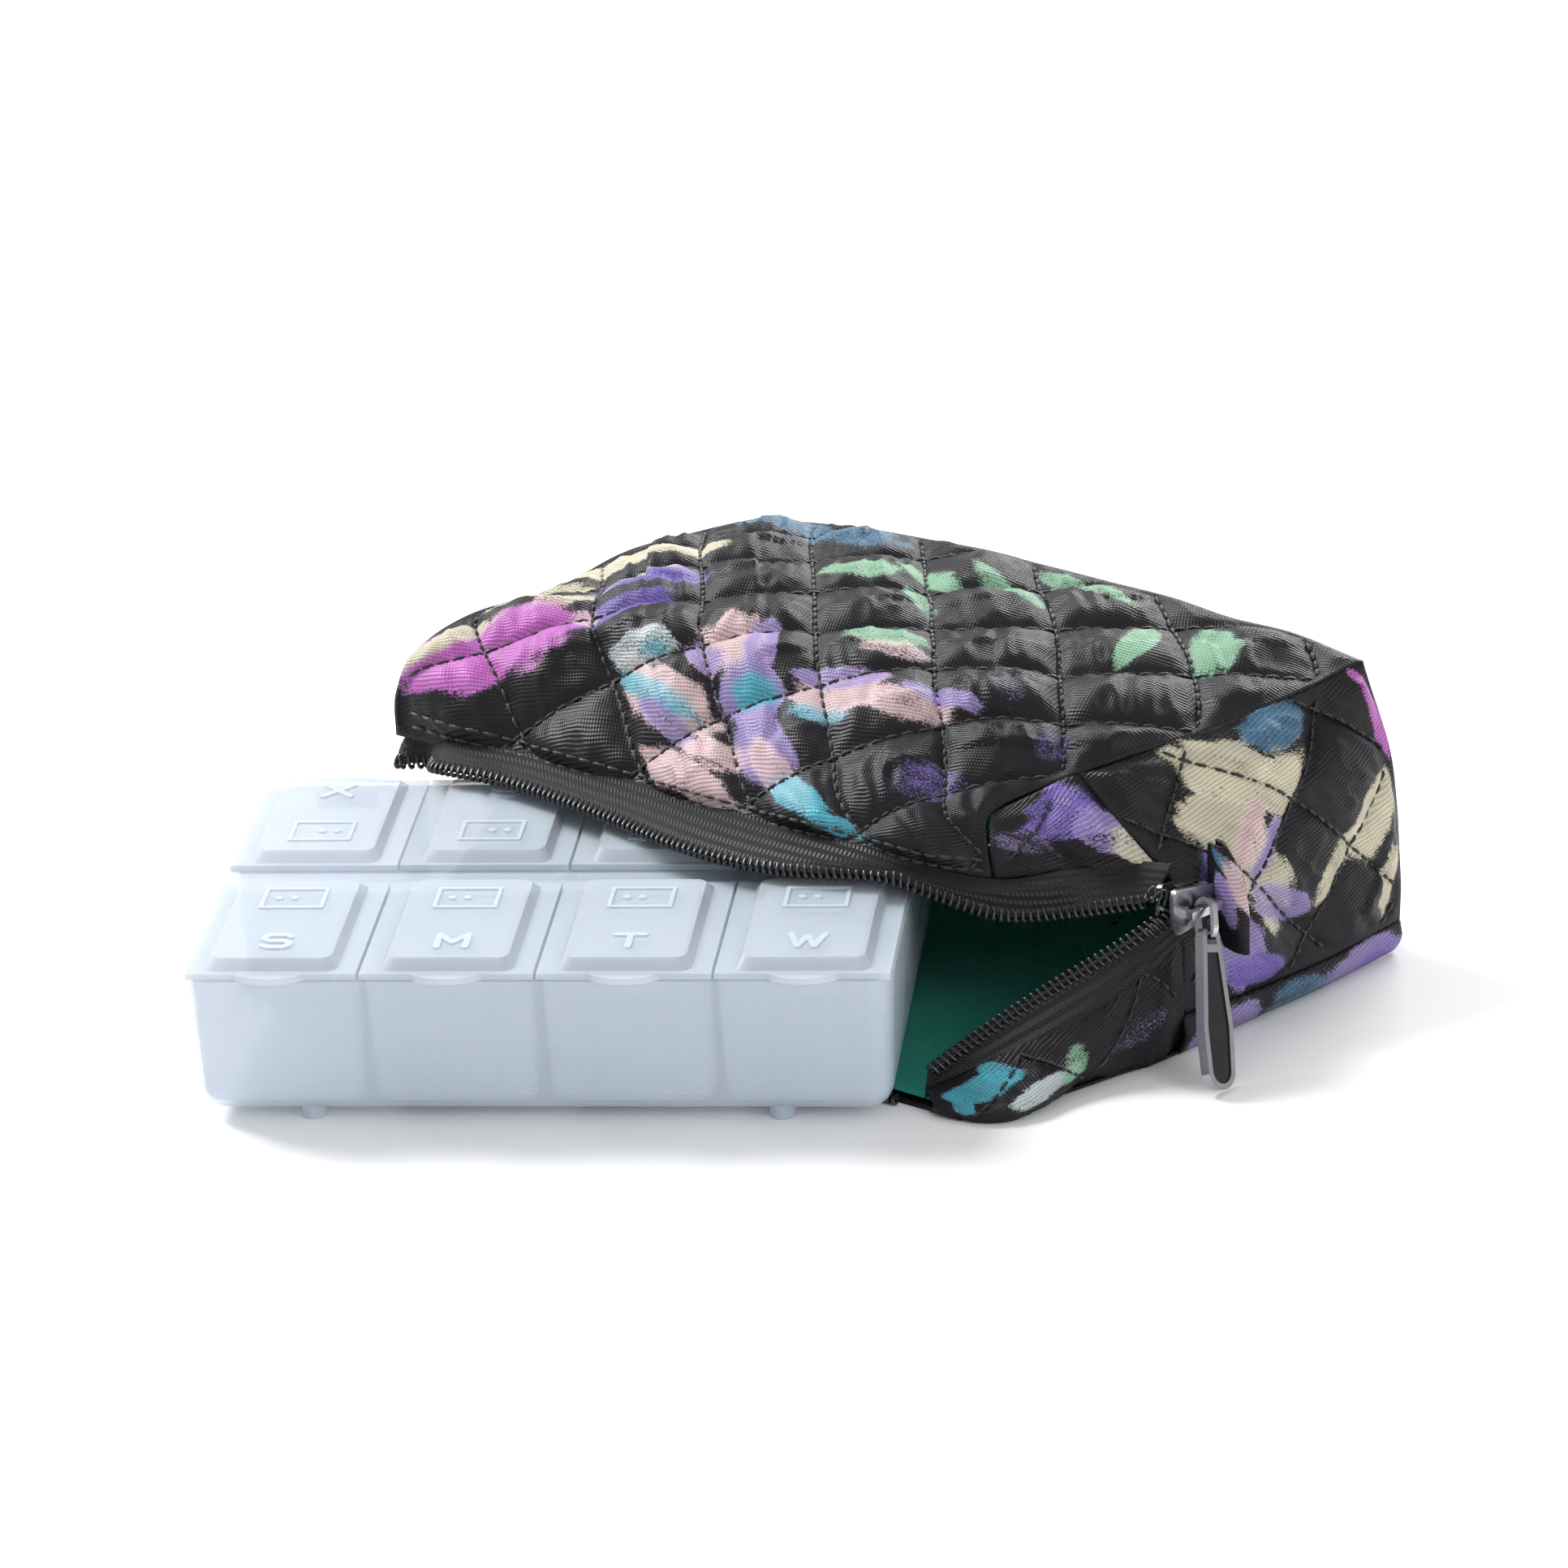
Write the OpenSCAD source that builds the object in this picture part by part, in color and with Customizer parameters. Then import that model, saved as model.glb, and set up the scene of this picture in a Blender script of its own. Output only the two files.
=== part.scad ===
// Travel pill organizer: a quilted zip pouch lying open on its side, with a
// clear eight-compartment pill tray half drawn out of its mouth.
// Millimetres, +Z up. The origin is at the middle of the pouch's underside,
// +X runs along the pill tray's width and +Y from the tray's front to its back.

/* [Pill tray] */
// Width of the tray at its rim
tray_w = 108; // [100:0.5:112]
// Depth of the tray at its rim
tray_d = 75; // [72:0.5:78]
// Height of the rim above the feet
rim_z = 24.2; // [22:0.1:24.6]
// Thickness of the tray's walls and dividers
tray_wall = 1.2; // [0.9:0.1:1.6]
// Height of the small feet
foot_h = 1.5; // [1.5:0.1:2]
// Height of a lid's raised top above the rim
lid_h = 2.7; // [2:0.1:2.8]
// Thickness of a lid
lid_t = 0.9; // [0.7:0.1:1]

/* [Pouch] */
// Thickness of the quilted outer fabric
quilt_t = 1.8; // [1.2:0.1:2]
// Thickness of the lining
lining_t = 0.5; // [0.4:0.1:0.6]
// Thickness of the flattened floor under the tray
floor_t = 0.8; // [0.6:0.1:0.8]
// Radius of the zipper's coil
coil_r = 0.65; // [0.5:0.05:0.65]
// Thickness of the zipper tape
tape_t = 0.7; // [0.5:0.1:0.8]

/* [Zip pull] */
// Length of the pull from its eye to its tip
pull_l = 26; // [22:0.5:26]
// Widest part of the pull
pull_w = 6.4; // [5:0.2:7]
// Thickness of the pull
pull_t = 1.7; // [1.4:0.1:2]

/* [Hidden] */

// Where the tray stands, and how far the pouch is turned against it
tray_pos = [-44.3, -69, 0];
tray_tilt = 1.1;
pouch_yaw = -31.3;

// Tray and lids
columns = 4;
pitch = tray_w / columns;
draft = 0.9;
corner_r = 4;
edge_r = 4;
half_ridge = 3.4;
hinge_y = tray_d / 2 - half_ridge;
hinge_rise = 0.35;
lid_gap = 0.15;
lid_side_gap = 0.25;
flange_t = 1;
bevel = 1.6;
side_step = 3;
lid_front = 0.5;
thumb_r = 9;
thumb_out = 1.9;
tongue_w = 10;
tongue_h = 3;
tongue_t = 0.8;
tongue_gap = 0.7;
foot_r = 2;
channel_end = 3;
foot_x = 36;
foot_y = 4.6;
mark_t = 0.3;
stroke = 1;
letter_y = 8.2;
mark_frame = [10, 7.4];
mark_line = 0.6;
mark_frame_y = -9.5;

// Pouch: its middle and half sizes, which set the direction of the walls' thickness
heart = [3, 0, 25];
half_size = [64, 42, 26];
fold_y = -3;
fold_gap = 0.3;
rear_y = fold_y + fold_gap / 2;
front_y = fold_y - fold_gap / 2;
corner_y = rear_y - 0.05;

// Ends of the zipper on the right and left walls
zip_right = [66.3, -8.6, 25];
zip_left = [-66, -8, 26];
wall_yaw = -11.5;

// The pouch's upper edges and seams, in its own axes, from left to right
back_edge = [
    [-52, 41, 51], [-30, 42, 53], [-8, 42.5, 53.5], [14, 42.5, 53],
    [36, 42, 52], [54, 41, 51], [68.5, 40, 49.5]
];
rear_crown = [
    [-59, 19, 52.5], [-35, 20, 54.8], [-12, 20, 54.5], [11, 20, 53],
    [33, 20, 50.5], [48, 20, 48.5], [61, 20, 46]
];
fold_line = [
    [-62.5, fold_y, 51], [-40, fold_y, 54], [-18, fold_y, 53.5], [4, fold_y, 52],
    [24, fold_y, 49.5], [39, fold_y, 46.5], [50, fold_y, 43.5]
];
front_crown = [
    [-65.5, -17, 50], [-42, -14, 50.5], [-20, -14, 49], [2, -14, 47],
    [21, -13, 45], [34, -12, 43], [44, -11, 41.5]
];
front_edge = [
    [-66, -29.5, 46], [-43, -22, 42], [-21, -23, 41], [1, -25, 40],
    [19, -26, 39.5], [30, -24, 38.5], [38.5, -20, 38]
];
front_seam = [
    [-66, -30.2, 35.5], [-42, -28, 34.2], [-20, -29, 33], [2, -31.5, 33],
    [22, -32, 33], [32, -28, 30], [41, -23, 28]
];

// The zipper's upper row runs from the left wall round the front to the right wall
upper_seam = [
    [-67, -13, 31.5], [-69.5, -21, 32.5], [-70, -30, 33.5], [-65, -29.5, 34],
    [-58.5, -31, 34], [-42, -28, 33.8], [-20, -29.5, 33.3], [2, -32, 33],
    [22, -32.5, 33], [32, -28.5, 29.8], [41, -23.5, 27.8], [49, -17.5, 28.5],
    [55.5, -11.5, 29.5]
];
upper_row = [
    [-66.8, -13, 26.8], [-69.8, -22, 27.4], [-71, -32, 28], [-65.7, -30.4, 28.4],
    [-60, -35.5, 30.5], [-46, -34.5, 30.5], [-24, -37, 30.2], [-6, -40, 29.8],
    [11, -39, 29.4], [26.5, -33, 29.4], [34.5, -28.8, 26.5], [42.5, -23.5, 23],
    [52, -17.5, 23.5]
];

// The zipper's lower row runs from the right wall down to the tray's side
lower_seam = [
    [66.3, -3.05, 21], [66.2, -11, 20.5], [64.5, -17, 17.5], [60.5, -22.5, 13], [56, -28, 9.5],
    [51.5, -34, 6.5], [47, -40.5, 4], [43.5, -46, 2.6]
];
lower_row = [
    [64.2, -16.6, 21], [61.5, -17.6, 19.8], [57.5, -19.5, 17.5], [52.5, -24.3, 13.8],
    [48, -29.5, 10.2], [44.5, -35.5, 7], [42.3, -43.5, 4.4]
];
lower_hem = [
    [66.8, -3.05, floor_t], [66.4, -11, floor_t], [64.5, -19, floor_t], [61.5, -27, floor_t],
    [60, -34, floor_t], [59, -42, floor_t], [54.5, -47.5, floor_t],
    [46, -49, floor_t]
];

// Underside of the pouch, and the strip of front wall pressed flat below the tray
floor_outline = [
    [-53, 42], [-59, 10], [-62.5, -10], [-66.5, -38], [-64, -40.5],
    [52, -40.5], [56, -40], [59.5, -35], [61.5, -27], [64.5, -19],
    [66.4, -11], [66.8, 0], [69.9, 20], [72, 39], [70, 42]
];
flat_strip = [[-63, -40.8], [-63, -45], [40, -46.5], [45, -48.8], [52, -47], [52, -40.8]];
flat_row = [[-63, -46], [-20, -46.5], [20, -47], [39, -47.5]];

function shrink(p, t) =
    [for (k = [0:2]) heart[k] + (p[k] - heart[k]) * (1 - t / half_size[k])];
function deep(grid, t) = [for (line = grid) [for (p = line) shrink(p, t)]];
function flat(grid) = [for (line = grid) for (p = line) p];
function at_y(line, y) = [for (p = line) [p[0], y, p[2]]];
function reversed(line) = [for (i = [len(line) - 1:-1:0]) line[i]];
// Point that stops short of the coil on the way from a seam point to a row point
coil_gap = 1.7;
function short_of(seam, row) =
    row + (seam - row) / norm(seam - row) * (coil_r + coil_gap);
// Inner face of the tape: inwards from the walls, backwards and down
function tape_back(line) =
    [for (p = line) p + tape_t * [-0.6 * p[0] / half_size[0], 0.4, -0.55]];

// Closed sheet between an outer and an inner grid of points; seen from outside,
// the grid's lines run from left to right and follow each other downwards
module sheet(outer, inner) {
    n = len(outer);
    m = len(outer[0]);
    far = n * m;
    quads = [for (i = [0:n - 2]) for (j = [0:m - 2])
        [i * m + j, i * m + j + 1, (i + 1) * m + j + 1, (i + 1) * m + j]];
    rim = concat(
        [for (j = [0:m - 2]) [j + 1, j]],
        [for (j = [0:m - 2]) [(n - 1) * m + j, (n - 1) * m + j + 1]],
        [for (i = [0:n - 2]) [i * m, (i + 1) * m]],
        [for (i = [0:n - 2]) [(i + 2) * m - 1, (i + 1) * m - 1]]
    );
    faces = concat(
        [for (q = quads) [q[0], q[1], q[2]]],
        [for (q = quads) [q[0], q[2], q[3]]],
        [for (q = quads) [far + q[2], far + q[1], far + q[0]]],
        [for (q = quads) [far + q[3], far + q[2], far + q[0]]],
        [for (e = rim) [e[0], e[1], far + e[1]]],
        [for (e = rim) [e[0], far + e[1], far + e[0]]]
    );
    polyhedron(concat(flat(outer), flat(inner)), faces);
}

lining_gap = 0.2;
module quilt(grid) sheet(grid, deep(grid, quilt_t));
module lining(grid)
    sheet(deep(grid, quilt_t + lining_gap), deep(grid, quilt_t + lining_gap + lining_t));

// Round bar along a line of points
module bar(path, r) {
    for (i = [0:len(path) - 2]) hull() {
        translate(path[i]) sphere(r, $fn = 8);
        translate(path[i + 1]) sphere(r, $fn = 8);
    }
}

module in_pouch() rotate([0, 0, pouch_yaw]) children();
module in_tray() translate(tray_pos) rotate([tray_tilt, 0, 0]) children();
// On the right wall at the zipper's end: +X outwards, -Y along the closing zipper
module at_slider() in_pouch() translate(zip_right) rotate([0, 0, wall_yaw]) children();

// ---- Pouch, fixed part ----

right_wall_grid = [
    [[50, rear_y, 43.5], [61, 20, 46], [68.5, 40, 49.5]],
    [[60, rear_y, 36], [69, 20, 36], [72, 40.5, 36]],
    [[66.3, rear_y, 25], [72, 20, 22], [73.5, 41, 22]],
    [[66.8, rear_y, floor_t], [69.9, 20, floor_t], [72, 40.5, floor_t]]
];
left_wall_grid = [
    [[-52, 41, 51], [-59, 19, 52.5], [-62.5, rear_y, 51]],
    [[-55, 42.5, 36], [-63, 20, 38], [-66, rear_y, 38]],
    [[-56, 43, 20], [-63, 20, 22], [-66, rear_y, 26]],
    [[-53, 41.8, floor_t], [-58, 20, floor_t], [-61.3, rear_y, floor_t]]
];
back_wall_grid = [
    reversed(back_edge),
    [for (p = reversed(back_edge)) p + [0, 2.2, -17]],
    [for (p = reversed(back_edge)) p + [0, 2.4, -32]],
    [for (p = reversed(back_edge)) [p[0] * 1.02, 41.8, floor_t]]
];
top_rear_grid = [back_edge, rear_crown, at_y(fold_line, rear_y)];
lower_right_grid = [reversed(lower_seam), reversed(lower_hem)];
lower_left_grid = [
    [[-66, -8, 22.5], [-67, -15, 16], [-67.5, -22, 9], [-67.5, -29, 3.2]],
    [[-62, -8, floor_t], [-63.5, -15, floor_t], [-65, -22, floor_t], [-66.2, -29, floor_t]]
];
right_corner_grid = [
    [[51, front_y, 42.3], [52, corner_y, 42]],
    [[57, -8.5, 35], [60, corner_y, 36]],
    [[61, -10.5, 30.5], [64.5, corner_y, 29.5]]
];
left_corner_grid = [
    [[-66, corner_y, 37], [-66.6, -10.4, 32.4]],
    [[-66, corner_y, 26], [-66, -7.8, 22.6]],
    [[-61.3, corner_y, floor_t], [-62, -7.8, floor_t]]
];

module bottom_panel()
    color("#17161a") in_pouch() linear_extrude(floor_t) polygon(floor_outline);

module back_wall() color("#1b1a1f") in_pouch() quilt(back_wall_grid);
module right_wall() color("#2a2733") in_pouch() quilt(right_wall_grid);
module left_wall() color("#1b1a1f") in_pouch() quilt(left_wall_grid);
module top_panel_rear() color("#24202c") in_pouch() quilt(top_rear_grid);
module right_wall_corner() color("#2f2a3a") in_pouch() quilt(right_corner_grid);
module left_wall_corner() color("#1b1a1f") in_pouch() quilt(left_corner_grid);
module lower_wall_right() color("#1e2a30") in_pouch() quilt(lower_right_grid);
module lower_wall_left() color("#1b1a1f") in_pouch() quilt(lower_left_grid);

module lower_wall_front()
    color("#1b1a1f") in_pouch() linear_extrude(floor_t) polygon(flat_strip);

binding_r = 1.1;
binding_line = [[68.6, 0, 1.5], [71.7, 20, 1.5], [73.8, 40, 1.5]];
module bottom_binding() color("#6a5aa0") in_pouch() bar(binding_line, binding_r);

module lining_floor() {
    inset = 0.96;
    pressed = 0.1;
    color("#0e6b5c") in_pouch() translate([0, 0, floor_t]) linear_extrude(lining_t - pressed)
        polygon([for (p = floor_outline) p * inset]);
}
module lining_back() color("#0e6b5c") in_pouch() lining(back_wall_grid);
module lining_right() color("#0e6b5c") in_pouch() lining(right_wall_grid);
module lining_left() color("#0e6b5c") in_pouch() lining(left_wall_grid);
module lining_top_rear() color("#0e6b5c") in_pouch() lining(top_rear_grid);
module lining_lower_right() color("#0e6b5c") in_pouch() lining(lower_right_grid);

// ---- Zipper ----

module lower_tape() color("#101010") in_pouch() {
    seam = [for (i = [1:len(lower_seam) - 1]) lower_seam[i]];
    sheet([lower_row, seam], [tape_back(lower_row), tape_back(seam)]);
}

// The coil lies just outside its tape's edge
lower_coil_off = [0.4, -0.6, 0.8];
module lower_coil() color("#202022") in_pouch() {
    bar([for (p = lower_row) p + lower_coil_off], coil_r);
    bar([for (p = flat_row) [p[0], p[1], coil_r]], coil_r);
}

// Closed stretch of coil under the slider and the short open ends beside it:
// each point's place along the zipper and its height from the middle
chain_line = [[4.6, 0.8], [-2, 0.8], [-4.4, 1.7], [-7, 3.2]];
module zip_chain_right() color("#202022") at_slider() for (side = [-1, 1])
    bar([for (p = chain_line) [0, p[0], side * p[1]]], coil_r);
chain_left_size = [1.4, 7, 3];
chain_left_off = [-1, 0.1, 0];
module zip_chain_left() color("#202022") in_pouch() translate(zip_left + chain_left_off)
    cube(chain_left_size, center = true);

// Folded fabric tabs over the ends of the zipper
tab_size = [5.5, 2.4, 16];
tab_off = [1.2 + tab_size[0] / 2, 6, 0.5];
tab_left_size = [2.4, 3, 13];
tab_left_off = [-2.4, 5.5, 0];
module zip_tab_right() color("#4b3a66") at_slider()
    translate(tab_off) cube(tab_size, center = true);
module zip_tab_left() color("#1b1a1f") in_pouch()
    translate(zip_left + tab_left_off) cube(tab_left_size, center = true);

// ---- Flap: the front of the top, which folds up along the fold line ----

flap_grid = [at_y(fold_line, front_y), front_crown, front_edge];
flap_front_grid = [front_edge, front_seam];
flap_left_grid = [
    [[-62.5, front_y, 50.7], [-65.5, -17, 49.7], [-66.3, -30, 45.7]],
    [[-66, front_y - 0.4, 39], [-68.5, -18, 41], [-69.6, -29, 40]],
    [[-66.8, -11.5, 33.5], [-69, -20, 33.5], [-70, -29, 34.5]]
];
flap_right_grid = [
    [[38.8, -20, 37.4], [44.3, -11, 40.9], [50, front_y, 42.9]],
    [[41.4, -22.6, 28.6], [49, -17, 29.3], [55.5, -10.8, 30.8]]
];

module top_panel_front() color("#3a3348") in_pouch() quilt(flap_grid);
module upper_wall_front() color("#2b2636") in_pouch() quilt(flap_front_grid);
module upper_wall_left() color("#a055a8") in_pouch() quilt(flap_left_grid);
module upper_wall_right() color("#2f2a3a") in_pouch() quilt(flap_right_grid);
module lining_flap() color("#0e6b5c") in_pouch() lining(flap_grid);
module upper_tape() color("#101010") in_pouch() {
    edge = [for (i = [0:len(upper_row) - 1]) short_of(upper_seam[i], upper_row[i])];
    sheet([upper_seam, edge], [tape_back(upper_seam), tape_back(edge)]);
}
module upper_coil() color("#202022") in_pouch() bar(upper_row, coil_r);

// ---- Slider and pull ----

slider_l = 9;
slider_w = 7.4;
plate_t = 0.8;
plate_x = 1.15;
plate_r = 1.2;
tail_inset = 1;
flange_w = 0.6;
flange_x = 0.45;
flange_y = -1;
flange_l = slider_l / 2;
flange_h = plate_x - 0.4;
wedge = [2 * plate_x + 0.2, 0.9, 0.6];
wedge_y = -slider_l / 2 + 0.4;
bridge_x = 4.2;
bridge_r = 0.5;
bow_w = 1.3;
bow_l = 6.4;
bow_bar = 0.8;
link_r = 1.35;
link_band = 0.7;
link_t = 1;
eye_drop = 1.9;
lean_out = 22;
lean_front = 18;
link_l = 2.5;

module slider_plate() {
    x = slider_w / 2 - plate_r;
    y = slider_l / 2 - plate_r;
    rotate([0, 90, 0]) linear_extrude(plate_t) hull() for (s = [-1, 1]) {
        translate([s * x, -y]) circle(plate_r, $fn = 24);
        translate([s * (x - tail_inset), y]) circle(plate_r, $fn = 24);
    }
}
module slider_body() color("#8d9096") at_slider() {
    translate([plate_x, 0, 0]) slider_plate();
    translate([-plate_x - plate_t, 0, 0]) slider_plate();
    for (s = [-1, 1]) {
        z0 = s > 0 ? slider_w / 2 - tail_inset - flange_w : -slider_w / 2 + tail_inset;
        for (x0 = [flange_x, -flange_x - flange_h])
            translate([x0, flange_y, z0]) cube([flange_h, flange_l, flange_w]);
    }
    translate([-wedge[0] / 2, wedge_y, -wedge[2] / 2]) cube(wedge);
}
// Bow on the outer plate that carries the pull
module slider_bridge() color("#a5a8ad") at_slider() difference() {
    foot = plate_x + plate_t;
    inner_l = bow_l - 2 * bow_bar;
    translate([foot, -bow_l / 2, -bow_w / 2]) cube([bridge_x - foot + bridge_r, bow_l, bow_w]);
    translate([foot - 1, -inner_l / 2, -bow_w])
        cube([bridge_x - foot + 1 - bridge_r, inner_l, 2 * bow_w]);
}

// The pull's frame: its eye is at the origin and it hangs along -Z
module in_pull() at_slider() translate([bridge_x, 0, 0])
    rotate([-lean_front, 0, 0]) rotate([0, -lean_out, 0]) children();

module slot_outline(r, length) hull() {
    circle(r, $fn = 32);
    translate([0, -length]) circle(r, $fn = 32);
}
// Link that joins the bow to the pull's eye
module pull_link() color("#b9bcc0") in_pull() translate([0, link_t / 2, 0])
    rotate([90, 0, 0]) linear_extrude(link_t) difference() {
        slot_outline(link_r + link_band, link_l);
        slot_outline(link_r, link_l);
    }

// Outline of the pull: narrow at the eye, widest below its middle
eye_y = -2.6;
eye_r = 1.9;
waist = 0.62;
tip_r = pull_w / 2 - 0.3;
rim_w = 0.9;
web_y = -4.6;
web_l = 1.2;
inlay_drop = 0.3;
module pull_outline(inset) hull() {
    translate([0, eye_y]) circle(eye_r - inset, $fn = 32);
    translate([0, -pull_l * waist]) circle(pull_w / 2 - inset, $fn = 32);
    translate([0, -pull_l + tip_r + 0.5]) circle(tip_r - inset, $fn = 32);
}
module pull_frame() color("#c4c7cb") in_pull() translate([-pull_t / 2, 0, -eye_drop])
    rotate([90, 0, 90]) difference() {
        linear_extrude(pull_t) pull_outline(0);
        translate([0, 0, -1]) linear_extrude(pull_t + 2) difference() {
            pull_outline(rim_w);
            translate([-pull_w, web_y]) square([2 * pull_w, web_l]);
        }
    }
module pull_inlay() color("#0c0c0e") in_pull()
    translate([-pull_t / 2 + inlay_drop, 0, -eye_drop])
    rotate([90, 0, 90]) linear_extrude(pull_t - 2 * inlay_drop) difference() {
        pull_outline(rim_w);
        translate([-pull_w, web_y]) square([2 * pull_w, -web_y]);
    }

// ---- Pill tray ----

module tray_outer() hull() {
    x = tray_w / 2;
    y = tray_d / 2;
    for (sx = [-1, 1]) for (sy = [-1, 1]) {
        translate([sx * (x - corner_r), y + sy * (y - corner_r), rim_z - 1])
            cylinder(h = 1, r = corner_r, $fn = 32);
        translate([sx * (x - edge_r - draft), y + sy * (y - edge_r - draft), foot_h + edge_r])
            sphere(edge_r, $fn = 24);
    }
}
pocket_r = 2.5;
pocket_draft = 0.4;
pocket_in = 0.2;
pocket_gap = 0.6;
end_shift = 0.4;
module pocket(x0, y0, w, d) {
    r = pocket_r;
    low_r = pocket_r + pocket_draft;
    hull() for (sx = [0, 1]) for (sy = [0, 1]) {
        translate([x0 + r + sx * (w - 2 * r), y0 + r + sy * (d - 2 * r), rim_z])
            cylinder(h = 1, r = r, $fn = 16);
        translate([x0 + low_r + sx * (w - 2 * low_r), y0 + low_r + sy * (d - 2 * low_r),
                foot_h + tray_wall + r])
            sphere(r, $fn = 16);
    }
}
module pill_tray() color("#dfeaf2", 0.55) in_tray() {
    inner_w = pitch - tray_wall;
    inner_d = hinge_y - tray_wall - pocket_gap;
    wall_y = tray_wall + pocket_in;
    channel_y = wall_y + inner_d + tray_wall;
    difference() {
        tray_outer();
        for (i = [0:columns - 1]) {
            side = i == 0 ? end_shift : (i == columns - 1 ? -end_shift : 0);
            x0 = -tray_w / 2 + i * pitch + tray_wall / 2 + side;
            pocket(x0, wall_y, inner_w, inner_d);
            pocket(x0, tray_d - wall_y - inner_d, inner_w, inner_d);
        }
        translate([-tray_w / 2 + channel_end, channel_y, 0])
            cube([tray_w - 2 * channel_end, tray_d - 2 * channel_y, rim_z - tray_wall]);
    }
    for (sx = [-1, 1]) for (y = [foot_y, tray_d - foot_y])
        translate([sx * foot_x, y, 0]) cylinder(h = foot_h + tray_wall - 0.1, r = foot_r, $fn = 32);
}

// A lid in its own axes: hinge line on X at the origin, free edge towards -Y
lid_w = pitch - 2 * lid_side_gap;
lid_l = hinge_y - lid_front;
// Raised top of a lid, bevelled towards its upper face
module frustum(inset, low, high) hull() {
    r = 1.6;
    x = lid_w / 2 - side_step - inset - r;
    free_y = -lid_l + 1 + inset + r;
    hinge_end_y = -0.8 - inset - r;
    side_bevel = bevel - 0.6;
    slice = 0.01;
    for (sx = [-1, 1]) {
        for (y = [free_y, hinge_end_y])
            translate([sx * x, y, low]) cylinder(h = slice, r = r, $fn = 24);
        for (y = [free_y + bevel, hinge_end_y - bevel])
            translate([sx * (x - side_bevel), y, high - slice]) cylinder(h = slice, r = r, $fn = 24);
    }
}
module lid_shape() {
    low = lid_gap - hinge_rise;
    top = lid_h - hinge_rise;
    difference() {
        union() {
            translate([-lid_w / 2, -lid_l, low]) cube([lid_w, lid_l, flange_t]);
            frustum(0, low + flange_t - 0.02, top);
            intersection() {
                translate([0, -lid_l + thumb_r - thumb_out, low])
                    cylinder(h = flange_t, r = thumb_r, $fn = 64);
                translate([-lid_w / 2, -lid_l - thumb_out - 1, low])
                    cube([lid_w, thumb_out + 3, flange_t]);
            }
        }
        frustum(lid_t, low - 0.5, top - lid_t);
    }
    translate([-tongue_w / 2, -lid_l + tray_wall + tongue_gap - lid_front, low - tongue_h])
        cube([tongue_w, tongue_t, tongue_h + 0.3]);
}
module place_front(i) in_tray()
    translate([-tray_w / 2 + pitch * (i - 0.5), hinge_y, rim_z + hinge_rise]) children();
module place_back(i) in_tray()
    translate([-tray_w / 2 + pitch * (i - 0.5), tray_d - hinge_y, rim_z + hinge_rise])
        rotate([0, 0, 180]) children();

// ---- Raised marks: one day letter and a dotted frame on each lid ----

letter_paths = [
    ["S", [[2, 1.6], [1.2, 2.2], [-1.2, 2.2], [-2, 1.5], [-2, 0.7], [-1.2, 0], [1.2, 0],
        [2, -0.7], [2, -1.5], [1.2, -2.2], [-1.2, -2.2], [-2, -1.6]]],
    ["M", [[-2.2, -2.2], [-2.2, 2.2], [0, -0.6], [2.2, 2.2], [2.2, -2.2]]],
    ["T", [[-2.2, 2.2], [2.2, 2.2], [0, 2.2], [0, -2.2]]],
    ["W", [[-2.6, 2.2], [-1.3, -2.2], [0, 1.4], [1.3, -2.2], [2.6, 2.2]]],
    ["F", [[2, 2.2], [-1.8, 2.2], [-1.8, 0], [1.2, 0], [-1.8, 0], [-1.8, -2.2]]],
    ["X", [[-2.2, 2.2], [2.2, -2.2], [0, 0], [2.2, 2.2], [-2.2, -2.2]]]
];
front_letters = ["S", "M", "T", "W"];
back_letters = ["X", "S", "F", "T"];
function letter_path(name) = [for (entry = letter_paths) if (entry[0] == name) entry[1]][0];

module mark(name) {
    path = letter_path(name);
    z = lid_h - hinge_rise;
    translate([0, -lid_l + letter_y, z]) linear_extrude(mark_t) for (i = [0:len(path) - 2]) hull() {
        translate(path[i]) circle(stroke / 2, $fn = 8);
        translate(path[i + 1]) circle(stroke / 2, $fn = 8);
    }
    translate([0, mark_frame_y, z]) linear_extrude(mark_t) difference() {
        square(mark_frame, center = true);
        square(mark_frame - [2, 2] * mark_line, center = true);
    }
    for (x = [-2.4, 0]) translate([x, mark_frame_y, z]) cylinder(h = mark_t, r = 0.6, $fn = 16);
}
module front_lid(i) color("#dfeaf2", 0.55) place_front(i) lid_shape();
module back_lid(i) color("#dfeaf2", 0.55) place_back(i) lid_shape();
module front_mark(i) color("#eef5fa") place_front(i) mark(front_letters[i - 1]);
module back_mark(i) color("#eef5fa") place_back(i) mark(back_letters[i - 1]);

bottom_panel();
back_wall();
right_wall();
left_wall();
top_panel_rear();
right_wall_corner();
left_wall_corner();
lower_wall_right();
lower_wall_left();
lower_wall_front();
bottom_binding();
lining_floor();
lining_back();
lining_right();
lining_left();
lining_top_rear();
lining_lower_right();
lower_tape();
lower_coil();
zip_chain_right();
zip_chain_left();
zip_tab_right();
zip_tab_left();
top_panel_front();
upper_wall_front();
upper_wall_left();
upper_wall_right();
lining_flap();
upper_tape();
upper_coil();
slider_body();
slider_bridge();
pull_link();
pull_frame();
pull_inlay();
pill_tray();
for (i = [1:columns]) {
    front_lid(i);
    back_lid(i);
    front_mark(i);
    back_mark(i);
}
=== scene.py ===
"""Looks of the travel pill organizer: a quilted zip pouch with a clear pill tray."""
import math

import bpy
import numpy as np
from mathutils import Matrix, Vector


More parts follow.
